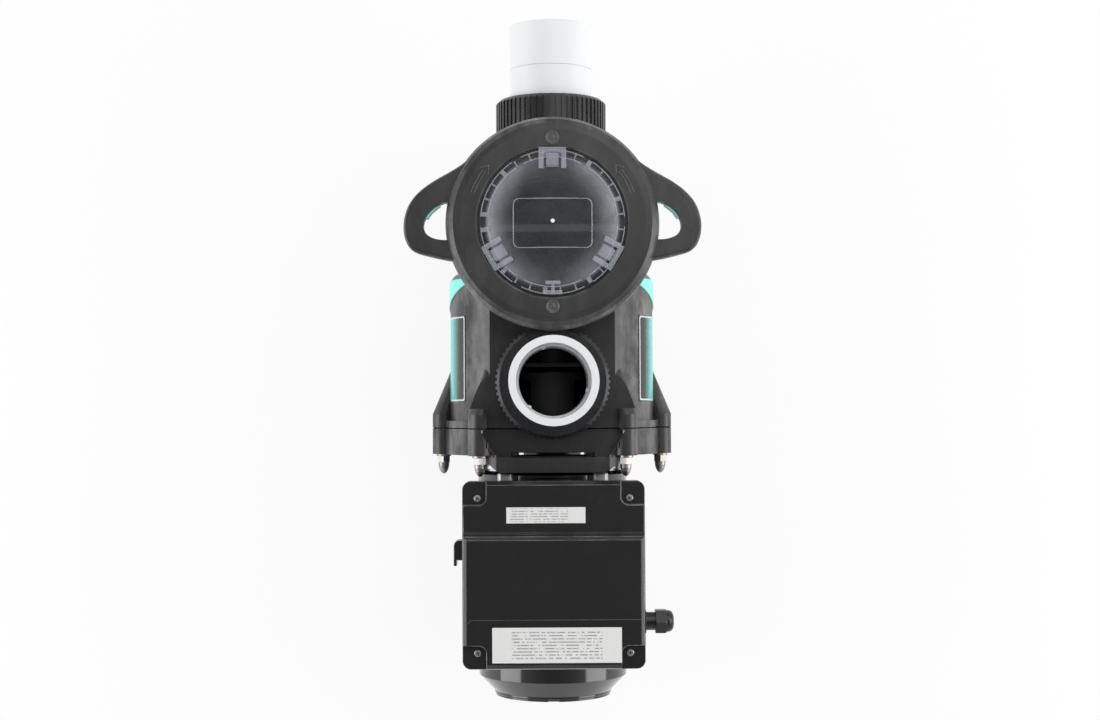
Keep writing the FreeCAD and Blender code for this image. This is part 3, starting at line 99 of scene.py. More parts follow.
edgeLook = dict(samples=6, flat=0.995, sharp=0.9)


def edgeMask(tree, radius):
    soft = put(tree, "ShaderNodeBevel", {"Radius": radius}, samples=edgeLook["samples"])
    flat = put(tree, "ShaderNodeNewGeometry")
    dot = put(tree, "ShaderNodeVectorMath", {0: soft.outputs[0], 1: flat.outputs["Normal"]},
              operation="DOT_PRODUCT")
    return soft.outputs[0], ramp(tree, dot.outputs["Value"], edgeLook["flat"], edgeLook["sharp"])


# What a user would change on each moulded or painted finish. The edge colour is partly real wear and partly a
# painted highlight where edges catch light.
finishes = {
    # flowAndSheenColor is the pale colour of real flow marks plus painted sheen on the slopes.
    "pot_plastic": dict(color=(0.020, 0.019, 0.020), edgeWearAndHighlight=(0.16, 0.155, 0.16), rough=0.36, roughSpread=0.12,
                        grain=900, grainDepth=0.05, cloud=11, cloudAmount=0.45, edge=0.0012, edgeWearAndHighlightAmount=0.4,
                        flowAndSheenColor=(0.34, 0.33, 0.32), flowAndSheenAmount=0.95),
    # Lighter than the ring, with pale edges: a painted highlight on the raised bosses and arrows.
    "ring_mark_highlit": dict(color=(0.070, 0.068, 0.070), edgeWearAndHighlight=(0.45, 0.44, 0.44), rough=0.30, roughSpread=0.08,
                      grain=900, grainDepth=0.03, cloud=20, cloudAmount=0.2, edge=0.0006, edgeWearAndHighlightAmount=0.9),
    "nut_plastic": dict(color=(0.009, 0.009, 0.011), edgeWearAndHighlight=(0.12, 0.12, 0.13), rough=0.27, roughSpread=0.08,
                        grain=1200, grainDepth=0.02, cloud=14, cloudAmount=0.2, edge=0.0005, edgeWearAndHighlightAmount=0.35),
    "inner_plastic": dict(color=(0.012, 0.012, 0.014), edgeWearAndHighlight=(0.05, 0.05, 0.05), rough=0.45, roughSpread=0.1,
                          grain=900, grainDepth=0.04, cloud=12, cloudAmount=0.2, edge=0.0006, edgeWearAndHighlightAmount=0.2),
    "basket_plastic": dict(color=(0.060, 0.060, 0.064), edgeWearAndHighlight=(0.07, 0.07, 0.075), rough=0.5, roughSpread=0.1,
                           grain=900, grainDepth=0.04, cloud=14, cloudAmount=0.25, edge=0.0006, edgeWearAndHighlightAmount=0.3),
    "white_plastic": dict(color=(0.80, 0.815, 0.825), edgeWearAndHighlight=(0.86, 0.86, 0.87), rough=0.32, roughSpread=0.06,
                          grain=1500, grainDepth=0.01, cloud=6, cloudAmount=0.05, edge=0.0006, edgeWearAndHighlightAmount=0.2),
    "teal_plastic": dict(color=(0.26, 0.86, 0.76), edgeWearAndHighlight=(0.5, 0.92, 0.86), rough=0.38, roughSpread=0.08,
                         grain=1200, grainDepth=0.02, cloud=9, cloudAmount=0.07, edge=0.0006, edgeWearAndHighlightAmount=0.3),
    "motor_paint": dict(color=(0.008, 0.008, 0.009), edgeWearAndHighlight=(0.06, 0.06, 0.065), rough=0.14, roughSpread=0.06,
                        grain=600, grainDepth=0.03, cloud=10, cloudAmount=0.2, edge=0.0012, edgeWearAndHighlightAmount=0.35,
                        coat=0.6),
    # The box's pale edges are mostly a painted highlight along its plateau edges.
    "box_plastic": dict(color=(0.010, 0.0095, 0.010), edgeWearAndHighlight=(0.42, 0.42, 0.44), rough=0.24, roughSpread=0.09,
                        grain=1100, grainDepth=0.015, cloud=6, cloudAmount=0.3, edge=0.0014, edgeWearAndHighlightAmount=1.0,
                        coat=0.2),
    "box_line": dict(color=(0.030, 0.030, 0.031), edgeWearAndHighlight=(0.25, 0.25, 0.26), rough=0.25, roughSpread=0.08,
                     grain=1100, grainDepth=0.015, cloud=9, cloudAmount=0.3, edge=0.0006, edgeWearAndHighlightAmount=0.8),
    "rubber_black": dict(color=(0.012, 0.012, 0.012), edgeWearAndHighlight=(0.04, 0.04, 0.04), rough=0.6, roughSpread=0.1,
                         grain=900, grainDepth=0.04, cloud=14, cloudAmount=0.2, edge=0.0005, edgeWearAndHighlightAmount=0.15),
    "board_green": dict(color=(0.02, 0.16, 0.06), edgeWearAndHighlight=(0.1, 0.3, 0.15), rough=0.35, roughSpread=0.08,
                        grain=700, grainDepth=0.03, cloud=18, cloudAmount=0.2, edge=0.0005, edgeWearAndHighlightAmount=0.2),
    "part_grey": dict(color=(0.06, 0.06, 0.07), edgeWearAndHighlight=(0.15, 0.15, 0.15), rough=0.35, roughSpread=0.08,
                      grain=700, grainDepth=0.02, cloud=18, cloudAmount=0.2, edge=0.0005, edgeWearAndHighlightAmount=0.2),
    "ceramic_white": dict(color=(0.78, 0.76, 0.7), edgeWearAndHighlight=(0.85, 0.84, 0.8), rough=0.2, roughSpread=0.05,
                          grain=1500, grainDepth=0.01, cloud=18, cloudAmount=0.08, edge=0.0005, edgeWearAndHighlightAmount=0.2),
}


# Pale streaks: real flow marks plus painted sheen, the light that slopes catch. They show most on slopes,
# less on upright walls and least on flat tops.
flowAndSheenLook = dict(stretch=(1.6, 0.55, 1.0), streakScale=30.0, streakFrom=0.40, streakTo=0.70, broadScale=9.0,
                broadFrom=0.25, broadTo=0.70, flatTop=0.97, fullSlope=0.55, wall=0.05, offWall=0.45,
                wallShare=0.25, flatShare=0.10)


def flowMarksAndSlopeSheen(tree, coords, color, look):
    marks = flowAndSheenLook
    normal = put(tree, "ShaderNodeSeparateXYZ", {0: put(tree, "ShaderNodeTexCoord").outputs["Normal"]})
    upright = calc(tree, "ABSOLUTE", normal.outputs[2])
    slopeSheen = ramp(tree, upright, marks["flatTop"], marks["fullSlope"])
    offWall = ramp(tree, upright, marks["wall"], marks["offWall"])
    slopeSheen = calc(tree, "MULTIPLY", slopeSheen, scaleAdd(tree, offWall, 1 - marks["wallShare"], marks["wallShare"]))
    long = put(tree, "ShaderNodeMapping", {"Vector": coords, "Scale": marks["stretch"]}).outputs[0]
    streak = noise(tree, long, marks["streakScale"], 6.0, 0.68)
    streak = ramp(tree, streak, marks["streakFrom"], marks["streakTo"])
    broad = noise(tree, coords, marks["broadScale"], 3.0, 0.5)
    broad = ramp(tree, broad, marks["broadFrom"], marks["broadTo"])
    amount = calc(tree, "MULTIPLY", calc(tree, "MULTIPLY", streak, broad), look["flowAndSheenAmount"])
    amount = calc(tree, "MULTIPLY", amount, scaleAdd(tree, slopeSheen, 1 - marks["flatShare"], marks["flatShare"]))
    return blendColor(tree, amount, color, rgba(look["flowAndSheenColor"]))


def mouldedFinish(slot):
    look = finishes[slot]
    mat, tree, out = newMaterial(slot + "_finish")
    coords = put(tree, "ShaderNodeTexCoord").outputs["Object"]
    clouds = noise(tree, coords, look["cloud"], 5.0, 0.6)
    fine = noise(tree, coords, look["grain"], 2.0, 0.5)
    smudge = noise(tree, coords, look["cloud"] * 6, 3.0, 0.6)
    rounded, edges = edgeMask(tree, look["edge"])
    shade = scaleAdd(tree, clouds, look["cloudAmount"] * 2, 1 - look["cloudAmount"])
    base = put(tree, "ShaderNodeVectorMath", {0: look["color"], "Scale": shade}, operation="SCALE").outputs[0]
    # Pale streaks: flow marks plus painted sheen where slopes catch light.
    if "flowAndSheenColor" in look:
        base = flowMarksAndSlopeSheen(tree, coords, base, look)
    # Edges: lighter colour for real wear plus a painted highlight where the edges catch light.
    edgeWearAndHighlightAmount = calc(tree, "MULTIPLY", edges, look["edgeWearAndHighlightAmount"])
    edgeWearAndHighlightAmount = calc(tree, "MULTIPLY", edgeWearAndHighlightAmount, ramp(tree, smudge, 0.3, 0.7), True)
    color = blendColor(tree, edgeWearAndHighlightAmount, base, rgba(look["edgeWearAndHighlight"]))
    rough = scaleAdd(tree, smudge, look["roughSpread"] * 2, look["rough"] - look["roughSpread"])
    bump = put(tree, "ShaderNodeBump", {"Strength": look["grainDepth"], "Distance": 0.0006, "Height": fine,
                                        "Normal": rounded})
    shader = put(tree, "ShaderNodeBsdfPrincipled", {"Base Color": color, "Roughness": rough,
                                                    "Normal": bump.outputs[0]})
    shader.inputs["Coat Weight"].default_value = look.get("coat", 0.0)
    shader.inputs["Coat Roughness"].default_value = 0.08
    tree.links.new(shader.outputs[0], out.inputs[0])
    return mat


# Metals: colour, roughness and how far the fine brushing shows.
metals = {
    "steel": dict(color=(0.40, 0.38, 0.345), rough=0.40, brush=260, depth=0.15),
    "core_steel": dict(color=(0.28, 0.28, 0.29), rough=0.45, brush=160, depth=0.3),
    "copper": dict(color=(0.72, 0.36, 0.19), rough=0.35, brush=300, depth=0.4),
    "lug_alloy": dict(color=(0.55, 0.54, 0.53), rough=0.4, brush=220, depth=0.25),
}


def metalFinish(name):
    look = metals[name]
    mat, tree, out = newMaterial(name + "_finish")
    coords = put(tree, "ShaderNodeTexCoord").outputs["Object"]
    stretched = put(tree, "ShaderNodeMapping", {"Vector": coords, "Scale": (1.0, 0.12, 1.0)}).outputs[0]
    brushed = noise(tree, stretched, look["brush"], 3.0, 0.6)
    patches = noise(tree, coords, 40.0, 4.0, 0.6)
    rounded, edges = edgeMask(tree, 0.0005)
    color = blendColor(tree, ramp(tree, patches, 0.35, 0.75), rgba(look["color"]),
                       rgba([c * 0.72 for c in look["color"]]))
    # Pale edges: a painted highlight where the edges catch light.
    color = blendColor(tree, calc(tree, "MULTIPLY", edges, 0.5), color, (0.85, 0.84, 0.82, 1.0))
    rough = scaleAdd(tree, brushed, 0.2, look["rough"] - 0.1)
    bump = put(tree, "ShaderNodeBump", {"Strength": look["depth"], "Distance": 0.0002, "Height": brushed,
                                        "Normal": rounded})
    shader = put(tree, "ShaderNodeBsdfPrincipled", {"Base Color": color, "Roughness": rough,
                                                    "Normal": bump.outputs[0]})
    shader.inputs["Metallic"].default_value = 1.0
    tree.links.new(shader.outputs[0], out.inputs[0])
    return mat


# Lid plastic. The glare is a painted reflection: a pale band near the lid's edge, fixed in place, between two
# radii, strongest at the left and right sides.
clearLook = dict(tint=(0.55, 0.57, 0.62), faceOn=0.02, grazing=0.85, power=1.6, rough=0.10, glare=0.30,
                 glareFrom=0.036, glareTo=0.068, glareFadeFrom=0.0695, glareFadeTo=0.0655, glareFront=0.15,
                 glareTint=(0.74, 0.76, 0.82))
mouldLook = dict(tint=(0.74, 0.76, 0.82), faceOn=0.22, grazing=0.7, power=1.2, rough=0.12)


def paintedSideGlare(tree, coords, haze, look):
    low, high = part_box("clear_lid")
    xyz = put(tree, "ShaderNodeSeparateXYZ", {0: coords})
    dx = calc(tree, "SUBTRACT", xyz.outputs[0], (low.x + high.x) / 2)
    dy = calc(tree, "SUBTRACT", xyz.outputs[1], (low.y + high.y) / 2)
    r = calc(tree, "SQRT", calc(tree, "ADD", calc(tree, "MULTIPLY", dx, dx), calc(tree, "MULTIPLY", dy, dy)))
    side = calc(tree, "DIVIDE", calc(tree, "ABSOLUTE", dx), calc(tree, "ADD", r, 0.001))
    outward = calc(tree, "POWER", ramp(tree, r, look["glareFrom"], look["glareTo"]), 2.0)
    rimFade = ramp(tree, r, look["glareFadeFrom"], look["glareFadeTo"])
    glareBand = calc(tree, "MULTIPLY", outward, scaleAdd(tree, side, 1 - look["glareFront"], look["glareFront"]))
    glareBand = calc(tree, "MULTIPLY", glareBand, rimFade)
    return calc(tree, "MULTIPLY", glareBand, scaleAdd(tree, haze, 1.2, 0.4), True)


def clearFinish(name, look):
    mat, tree, out = newMaterial(name)
    coords = put(tree, "ShaderNodeTexCoord").outputs["Object"]
    haze = noise(tree, coords, 45.0, 4.0, 0.6)
    rim = put(tree, "ShaderNodeLayerWeight", {"Blend": 0.4}).outputs["Facing"]
    lift = calc(tree, "POWER", rim, look["power"])
    solid = scaleAdd(tree, lift, look["grazing"], look["faceOn"])
    solid = calc(tree, "ADD", solid, calc(tree, "MULTIPLY", haze, 0.04), True)
    tint = rgba(look["tint"])
    if "glare" in look:
        # Painted reflection: a pale band that lightens and whitens the lid near its edge.
        glareBand = paintedSideGlare(tree, coords, haze, look)
        solid = calc(tree, "ADD", solid, calc(tree, "MULTIPLY", glareBand, look["glare"]), True)
        tint = blendColor(tree, glareBand, tint, rgba(look["glareTint"]))
    rough = scaleAdd(tree, haze, 0.1, look["rough"])
    bump = put(tree, "ShaderNodeBump", {"Strength": 0.04, "Distance": 0.0004, "Height": haze})
    skin = put(tree, "ShaderNodeBsdfPrincipled", {"Roughness": rough, "Normal": bump.outputs[0]})
    if isinstance(tint, tuple):
        skin.inputs["Base Color"].default_value = tint
    else:
        tree.links.new(tint, skin.inputs["Base Color"])
    through = put(tree, "ShaderNodeBsdfTransparent")
    through.inputs[0].default_value = (0.93, 0.94, 0.96, 1.0)
    mix = put(tree, "ShaderNodeMixShader", {0: solid, 1: through.outputs[0], 2: skin.outputs[0]})
    tree.links.new(mix.outputs[0], out.inputs[0])
    return mat


badgeLook = dict(black=(0.012, 0.016, 0.018), teal=(0.10, 0.58, 0.52), line=(0.62, 0.66, 0.66), margin=0.0016,
                 lineWidth=0.0008)


def badgeFinish():
    mat, tree, out = newMaterial("badge_film_finish")
    low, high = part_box("side_badges")
    coords = put(tree, "ShaderNodeTexCoord").outputs["Object"]
    xyz = put(tree, "ShaderNodeSeparateXYZ", {0: coords})
    margin, width = badgeLook["margin"], badgeLook["lineWidth"]
    away = []
    for axis, a, b in ((1, low.y, high.y), (2, low.z, high.z)):
        half = (b - a) / 2 - margin
        off = calc(tree, "ABSOLUTE", calc(tree, "SUBTRACT", xyz.outputs[axis], (a + b) / 2))
        away.append(calc(tree, "SUBTRACT", off, half))
    edge = put(tree, "ShaderNodeMath", {0: away[0], 1: away[1], 2: 0.004}, operation="SMOOTH_MAX").outputs[0]
    line = calc(tree, "LESS_THAN", calc(tree, "ABSOLUTE", edge), width)
    height = ramp(tree, xyz.outputs[2], low.z, high.z)
    fleck = noise(tree, coords, 220.0, 3.0, 0.6)
    tone = calc(tree, "ADD", height, calc(tree, "MULTIPLY", fleck, 0.12))
    ground = blendColor(tree, ramp(tree, tone, 0.35, 0.80), rgba(badgeLook["teal"]), rgba(badgeLook["black"]))
    color = blendColor(tree, line, ground, rgba(badgeLook["line"]))
    rough = scaleAdd(tree, fleck, 0.12, 0.2)
    shader = put(tree, "ShaderNodeBsdfPrincipled", {"Base Color": color, "Roughness": rough})
    tree.links.new(shader.outputs[0], out.inputs[0])
    return mat


labelLook = dict(paper=(0.80, 0.80, 0.79), ink=(0.16, 0.16, 0.17), rowInk=0.34, inkShare=0.75,
                 wordScale=520.0, wordGap=0.45, sideMargin=0.05, endMargin=0.08)


def labelFinish(node, columns, rows):
    look = labelLook
    mat, tree, out = newMaterial(node + "_finish")
    low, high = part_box(node)
    coords = put(tree, "ShaderNodeTexCoord").outputs["Object"]
    xyz = put(tree, "ShaderNodeSeparateXYZ", {0: coords})
    u = ramp(tree, xyz.outputs[0], low.x, high.x)
    v = ramp(tree, xyz.outputs[1], low.y, high.y)
    row = calc(tree, "FRACT", calc(tree, "MULTIPLY", v, rows))
    offRow = calc(tree, "ABSOLUTE", calc(tree, "SUBTRACT", row, 0.5))
    inRow = calc(tree, "LESS_THAN", offRow, look["rowInk"] / 2)
    long = put(tree, "ShaderNodeMapping", {"Vector": coords, "Scale": (1.0, 0.35, 1.0)}).outputs[0]
    words = noise(tree, long, look["wordScale"], 1.0, 0.3)
    inked = calc(tree, "MULTIPLY", inRow, calc(tree, "GREATER_THAN", words, look["wordGap"]))
    for value, margin in ((u, look["sideMargin"]), (v, look["endMargin"])):
        offMiddle = calc(tree, "ABSOLUTE", calc(tree, "SUBTRACT", value, 0.5))
        inked = calc(tree, "MULTIPLY", inked, calc(tree, "LESS_THAN", offMiddle, 0.5 - margin))
    for start, end in columns:  # stretches of the width left blank
        mid, half = (start + end) / 2, (end - start) / 2
        clear = calc(tree, "GREATER_THAN", calc(tree, "ABSOLUTE", calc(tree, "SUBTRACT", u, mid)), half)
        inked = calc(tree, "MULTIPLY", inked, clear)
    paper = noise(tree, coords, 90.0, 4.0, 0.6)
    ground = blendColor(tree, paper, rgba(look["paper"]), rgba([c * 0.93 for c in look["paper"]]))
    color = blendColor(tree, calc(tree, "MULTIPLY", inked, look["inkShare"]), ground, rgba(look["ink"]))
    rough = scaleAdd(tree, paper, 0.15, 0.3)
    shader = put(tree, "ShaderNodeBsdfPrincipled", {"Base Color": color, "Roughness": rough})
    tree.links.new(shader.outputs[0], out.inputs[0])
    return mat


slotFinish = {slot: mouldedFinish(slot) for slot in finishes}
slotFinish.update({slot: metalFinish(slot) for slot in metals})
slotFinish["clear_plastic"] = clearFinish("clear_plastic_finish", clearLook)
mouldFinish = clearFinish("clear_rib_finish", mouldLook)
slotFinish["badge_film"] = badgeFinish()
ownFinish = {
    "rating_label": labelFinish("rating_label", [(0.70, 0.73), (0.02, 0.22)], 6),
    "notice_label": labelFinish("notice_label", [(0.02, 0.15), (0.85, 0.98)], 11),
}
for part in frame["record"]["subparts"]:
    node = nodes[part["node"]]
    mat = ownFinish.get(part["node"]) or slotFinish[part["material_slot"]]
    node.data.materials.clear()
    node.data.materials.append(mat)
print("finishes set on the CAD nodes")


# Shorthand for building pieces. Lengths are in metres.

def addPiece(name, mesh, body, slot, mat=None, bevel=0.0):
    obj = bpy.data.objects.new(name, mesh)
    bpy.context.scene.collection.objects.link(obj)
    obj.data.materials.append(mat or slotFinish[slot])
    if bevel:
        mod = obj.modifiers.new("softEdges", "BEVEL")
        mod.width = bevel
        mod.segments = 3
        mod.limit_method = "ANGLE"
        mod.angle_limit = math.radians(35)
    for poly in obj.data.polygons:
        poly.use_smooth = True
    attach(obj, body)
    return obj


def meshFrom(name, build):
    bm = bmesh.new()
    build(bm)
    bmesh.ops.recalc_face_normals(bm, faces=bm.faces)
    mesh = bpy.data.meshes.new(name)
    bm.to_mesh(mesh)
    bm.free()
    return mesh


def slab(bm, outline, z0, z1, place=None):
    move = place or (lambda x, y, z: (x, y, z))
    low = [bm.verts.new(move(x, y, z0)) for x, y in outline]
    high = [bm.verts.new(move(x, y, z1)) for x, y in outline]
    bm.faces.new(low[::-1])
    bm.faces.new(high)
    n = len(outline)
    for i in range(n):
        bm.faces.new((low[i], low[(i + 1) % n], high[(i + 1) % n], high[i]))


def turnedProfile(bm, profile, centre, steps):
    rings = []
    angles = [2 * math.pi * i / steps for i in range(steps)]
    for r, z in profile:
        places = [(centre[0] + r * math.cos(a), centre[1] + r * math.sin(a), z) for a in angles]
        rings.append([bm.verts.new(place) for place in places])
    for a, b in zip(rings, rings[1:]):
        for i in range(steps):
            j = (i + 1) % steps
            bm.faces.new((a[i], a[j], b[j], b[i]))
    bm.faces.new(rings[0][::-1])
    bm.faces.new(rings[-1])


def surfaceHeight(node):
    bm = bmesh.new()
    bm.from_mesh(nodes[node].data)
    tree = BVHTree.FromBMesh(bm)
    bm.free()
    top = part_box(node)[1].z + 0.01

    def height(x, y):
        hit = tree.ray_cast(Vector((x, y, top)), Vector((0, 0, -1)))[0]
        return hit.z if hit else None
    return height


def turned(point, angle, centre):
    x, y = point
    c, d = math.cos(angle), math.sin(angle)
    return centre[0] + x * c - y * d, centre[1] + x * d + y * c


def box(bm, x0, x1, y0, y1, z0, z1, angle=0.0, centre=(0.0, 0.0)):
    corners = [turned(p, angle, centre) for p in ((x0, y0), (x1, y0), (x1, y1), (x0, y1))]
    slab(bm, corners, z0, z1)


def arcBand(bm, centre, r0, r1, a0, a1, z0, z1, steps=16):
    angles = [a0 + (a1 - a0) * i / steps for i in range(steps + 1)]
    outline = [(centre[0] + r1 * math.cos(a), centre[1] + r1 * math.sin(a)) for a in angles]
    outline += [(centre[0] + r0 * math.cos(a), centre[1] + r0 * math.sin(a)) for a in reversed(angles)]
    slab(bm, outline, z0, z1)


# The lid's mouldings stand on its domed top, whose height is read from the CAD mesh.
lidLow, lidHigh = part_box("clear_lid")
lidCentre = ((lidLow.x + lidHigh.x) / 2, (lidLow.y + lidHigh.y) / 2)
lidTop = surfaceHeight("clear_lid")
lidEdgeDrop = 0.010          # how far under the lid's top a piece starts where no lid is below it
lidSink = 0.002              # how far a moulding's foot reaches into the lid


def lidSurface(x, y):
    return lidTop(x, y) or lidHigh.z - lidEdgeDrop


rimLook = dict(outer=0.0742, inner=0.0668, wall=0.0009, rise=0.0022, innerShare=0.8, parts=6, gap=4.0,
               sink=0.0004, dividers=28, wide=0.0022, narrow=0.0008, wideShare=0.9, narrowShare=0.6,
               soft=0.0003)


def addLidRim():
    look = rimLook

    def build(bm):
        base = lidSurface(lidCentre[0] + look["outer"] - 0.002, lidCentre[1]) - 0.0006
        for r, rise in ((look["outer"], look["rise"]), (look["inner"], look["rise"] * look["innerShare"])):
            z = lidSurface(lidCentre[0] + r, lidCentre[1]) - look["sink"]
            for part in range(look["parts"]):
                a0 = math.radians(part * 360 / look["parts"] + look["gap"])
                a1 = a0 + math.radians(360 / look["parts"] - 2 * look["gap"])
                arcBand(bm, lidCentre, r - look["wall"], r, a0, a1, z, z + rise)
        for i in range(look["dividers"]):
            angle = 2 * math.pi * (i + 0.5) / look["dividers"]
            size = "wide" if i % 3 == 0 else "narrow"  # every third divider is a wide one
            half = look[size]
            z = base + look["rise"] * look[size + "Share"]
            box(bm, look["inner"], look["outer"] - look["wall"], -half, half, base - look["sink"], z, angle,
                lidCentre)
    addPiece("lidRimRibs", meshFrom("lidRimRibs", build), "pump", "clear_plastic", mouldFinish, look["soft"])


clipLook = dict(width=0.028, inner=0.0545, outer=0.0765, endBar=0.0055, knuckle=0.012, arm=0.0048,
                endRise=0.0036, armRise=0.0034, knuckleRise=0.0040, tongue=0.0062, tongueFrom=0.0016,
                tongueTo=0.0062, tongueRise=0.0014, soft=0.0005)


def addLidClips():
    look = clipLook
    half = look["width"] / 2
    for i, name in enumerate(("lidClipFront", "lidClipRight", "lidClipLeft")):
        turn = math.radians(-90 + 120 * i)

        def build(bm):
            def part(r0, r1, w0, w1, lift):
                x, y = turned(((r0 + r1) / 2, (w0 + w1) / 2), turn, lidCentre)
                z = lidSurface(x, y)
                box(bm, r0, r1, w0, w1, z - lidSink, z + lift, turn, lidCentre)
            inner, outer = look["inner"], look["outer"]
            knuckle, endBar = outer - look["knuckle"], outer - look["endBar"]
            part(endBar, outer, -half, half, look["endRise"])
            for side in (-1, 1):
                w = sorted((side * half, side * (half - look["arm"])))
                part(inner, knuckle, w[0], w[1], look["armRise"])
                part(knuckle, endBar, w[0], w[1], look["knuckleRise"])
            tongue = look["tongue"]
            part(inner + look["tongueFrom"], outer - look["tongueTo"], -tongue, tongue, look["tongueRise"])
        addPiece(name, meshFrom(name, build), "pump", "clear_plastic", mouldFinish, look["soft"])


plateLook = dict(width=0.080, depth=0.050, corner=0.006, rearward=0.002, halfLine=0.0005, foot=-0.0004,
                 crest=0.0007, spacing=0.004)
gateLook = dict(radius=0.0021, foot=-0.0005, steps=24)


def addLidMouldings():
    def outlineBuild(bm):
        look = plateLook
        w, d, r = look["width"] / 2, look["depth"] / 2, look["corner"]
        path = []
        corners = ((w - r, d - r, 0), (-w + r, d - r, 90), (-w + r, -d + r, 180), (w - r, -d + r, 270))
        for cx, cy, a0 in corners:
            for k in range(7):
                a = math.radians(a0 + 15 * k)
                path.append((cx + r * math.cos(a), cy + r * math.sin(a)))
        dense = []
        for (x0, y0), (x1, y1) in zip(path, path[1:] + path[:1]):
            steps = max(1, int(math.hypot(x1 - x0, y1 - y0) / look["spacing"]))
            dense += [(x0 + (x1 - x0) * k / steps, y0 + (y1 - y0) * k / steps) for k in range(steps)]
        rows = []
        for x, y in dense:
            out = Vector((x, y)).normalized() * look["halfLine"]
            foot, crest = look["foot"], look["crest"]
            ring = []
            for dx, lift in ((-1, foot), (-1, crest), (1, crest), (1, foot)):
                px, py = lidCentre[0] + x + out.x * dx, lidCentre[1] + look["rearward"] + y + out.y * dx
                ring.append(bm.verts.new((px, py, lidSurface(px, py) + lift)))
            rows.append(ring)
        for a, b in zip(rows, rows[1:] + rows[:1]):
            for k in range(4):
                bm.faces.new((a[k], b[k], b[(k + 1) % 4], a[(k + 1) % 4]))
    outline = meshFrom("lidPlateOutline", outlineBuild)
    addPiece("lidPlateOutline", outline, "pump", "clear_plastic", mouldFinish)

    def gateBuild(bm):
        r = gateLook["radius"]
        z = lidSurface(*lidCentre)
        profile = [(r, z + gateLook["foot"]), (r, z + 0.0003), (r * 0.7, z + 0.0010), (r * 0.25, z + 0.0013)]
        turnedProfile(bm, profile, lidCentre, gateLook["steps"])
    addPiece("lidGateMark", meshFrom("lidGateMark", gateBuild), "pump", "white_plastic")

    def teeBuild(bm):
        turn = math.radians(90)
        for r0, r1, w in ((0.0605, 0.0640, 0.0075), (0.0640, 0.0735, 0.0017), (0.0700, 0.0740, 0.0095)):
            x, y = turned(((r0 + r1) / 2, 0), turn, lidCentre)
            z = lidSurface(x, y)
            box(bm, r0, r1, -w, w, z - lidSink, z + 0.0018, turn, lidCentre)
    addPiece("lidStopTee", meshFrom("lidStopTee", teeBuild), "pump", "clear_plastic", mouldFinish, 0.0004)


addLidRim()
addLidClips()
addLidMouldings()
print("strainer lid detail added")


# Screw-head bosses and turning arrows on the locking ring, in a lighter finish with pale edges: a painted
# highlight.
ringTop = surfaceHeight("lid_ring")
ringLook = dict(bossAt=0.0865, bossRadius=0.0073, bossLip=0.0012, bossRise=0.0013, arrowRadius=0.0870,
                arrowWidth=0.0009, arrowRise=0.0009, arrowFrom=20.0, arrowTo=37.0)


def addRingBosses():
    look = ringLook
    for name, side in (("ringBossFront", -1), ("ringBossRear", 1)):
        centre = (lidCentre[0], lidCentre[1] + side * look["bossAt"])
        z = ringTop(centre[0] + look["bossRadius"] + 0.001, centre[1])

        def build(bm):
            r, lip, rise = look["bossRadius"], look["bossLip"], look["bossRise"]
            profile = [(r, z - 0.0003), (r - 0.0002, z + rise * 0.7), (r - 0.0006, z + rise),
                       (r - lip, z + rise * 0.8), (r - lip * 1.6, z + 0.0001), (r * 0.45, z + 0.00005),
                       (0.0014, z + 0.0001), (0.0012, z + 0.0005), (0.0005, z + 0.0006)]
            turnedProfile(bm, profile, centre, 48)
        addPiece(name, meshFrom(name, build), "lock_ring", "pot_plastic", slotFinish["ring_mark_highlit"])


def addRingArrows():
    look = ringLook
    for name, side in (("ringArrowLeft", 1), ("ringArrowRight", -1)):

        def build(bm):
            angles = [math.radians(-look["arrowFrom"]), math.radians(-look["arrowTo"])]
            if side < 0:
                angles = [math.pi - a for a in angles]
            r, w = look["arrowRadius"], look["arrowWidth"]
            z = ringTop(lidCentre[0] + side * r, lidCentre[1]) - 0.0002
            top = z + 0.0002 + look["arrowRise"]
            for offset in (-0.0016, 0.0016):
                arcBand(bm, lidCentre, r + offset - w / 2, r + offset + w / 2, angles[0], angles[1], z, top)
            tip = angles[1] + (angles[1] - angles[0]) * 0.28
            for reach in (-0.0052, 0.0052):
                start = Vector((math.cos(angles[1]), math.sin(angles[1]))) * (r + reach)
                end = Vector((math.cos(tip), math.sin(tip))) * r
                along = (end - start).normalized() * w / 2
                across = Vector((-along.y, along.x))
                outline = [start + across, end + across, end - across, start - across]
                slab(bm, [(lidCentre[0] + p.x, lidCentre[1] + p.y) for p in outline], z, top)
        addPiece(name, meshFrom(name, build), "lock_ring", "pot_plastic", slotFinish["ring_mark_highlit"], 0.0002)


addRingBosses()
addRingArrows()
print("locking ring detail added")


# Small stops that the pipe meets inside the outlet stub.
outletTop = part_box("outlet_tailpiece")[1].z
stubLook = dict(ledge=0.046, bore=0.0355, socket=0.0375, nubSize=0.0024, nubAngles=(107.0, -15.0, -133.0),
                soft=0.0006)


def addStubNubs():
    look = stubLook
    z = outletTop - look["ledge"]

    def build(bm):
        for degrees in look["nubAngles"]:
            turn = math.radians(degrees + 180)
            size = look["nubSize"]
            steps = ((look["bore"] + 0.0004, size, 0.0035), (look["bore"] - 0.0006, size * 0.7, 0.0022))
            for r, w, up in steps:
                box(bm, r - 0.001, look["socket"] - 0.0002, -w, w, z - 0.0002, z + up, turn)
    nubs = meshFrom("outletStubNubs", build)
    addPiece("outletStubNubs", nubs, "outlet_stub", "white_plastic", bevel=look["soft"])


addStubNubs()
print("outlet stub detail added")


# Castings, seams and screws between the housing and the drive box.
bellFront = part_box("front_bell")[0].y
lugLook = dict(across=0.051, halfWidth=0.0085, low=0.2245, high=0.2455, deep=0.013, setBack=0.0012,
               chamferX=0.003, chamferZ=0.004, soft=0.0012)


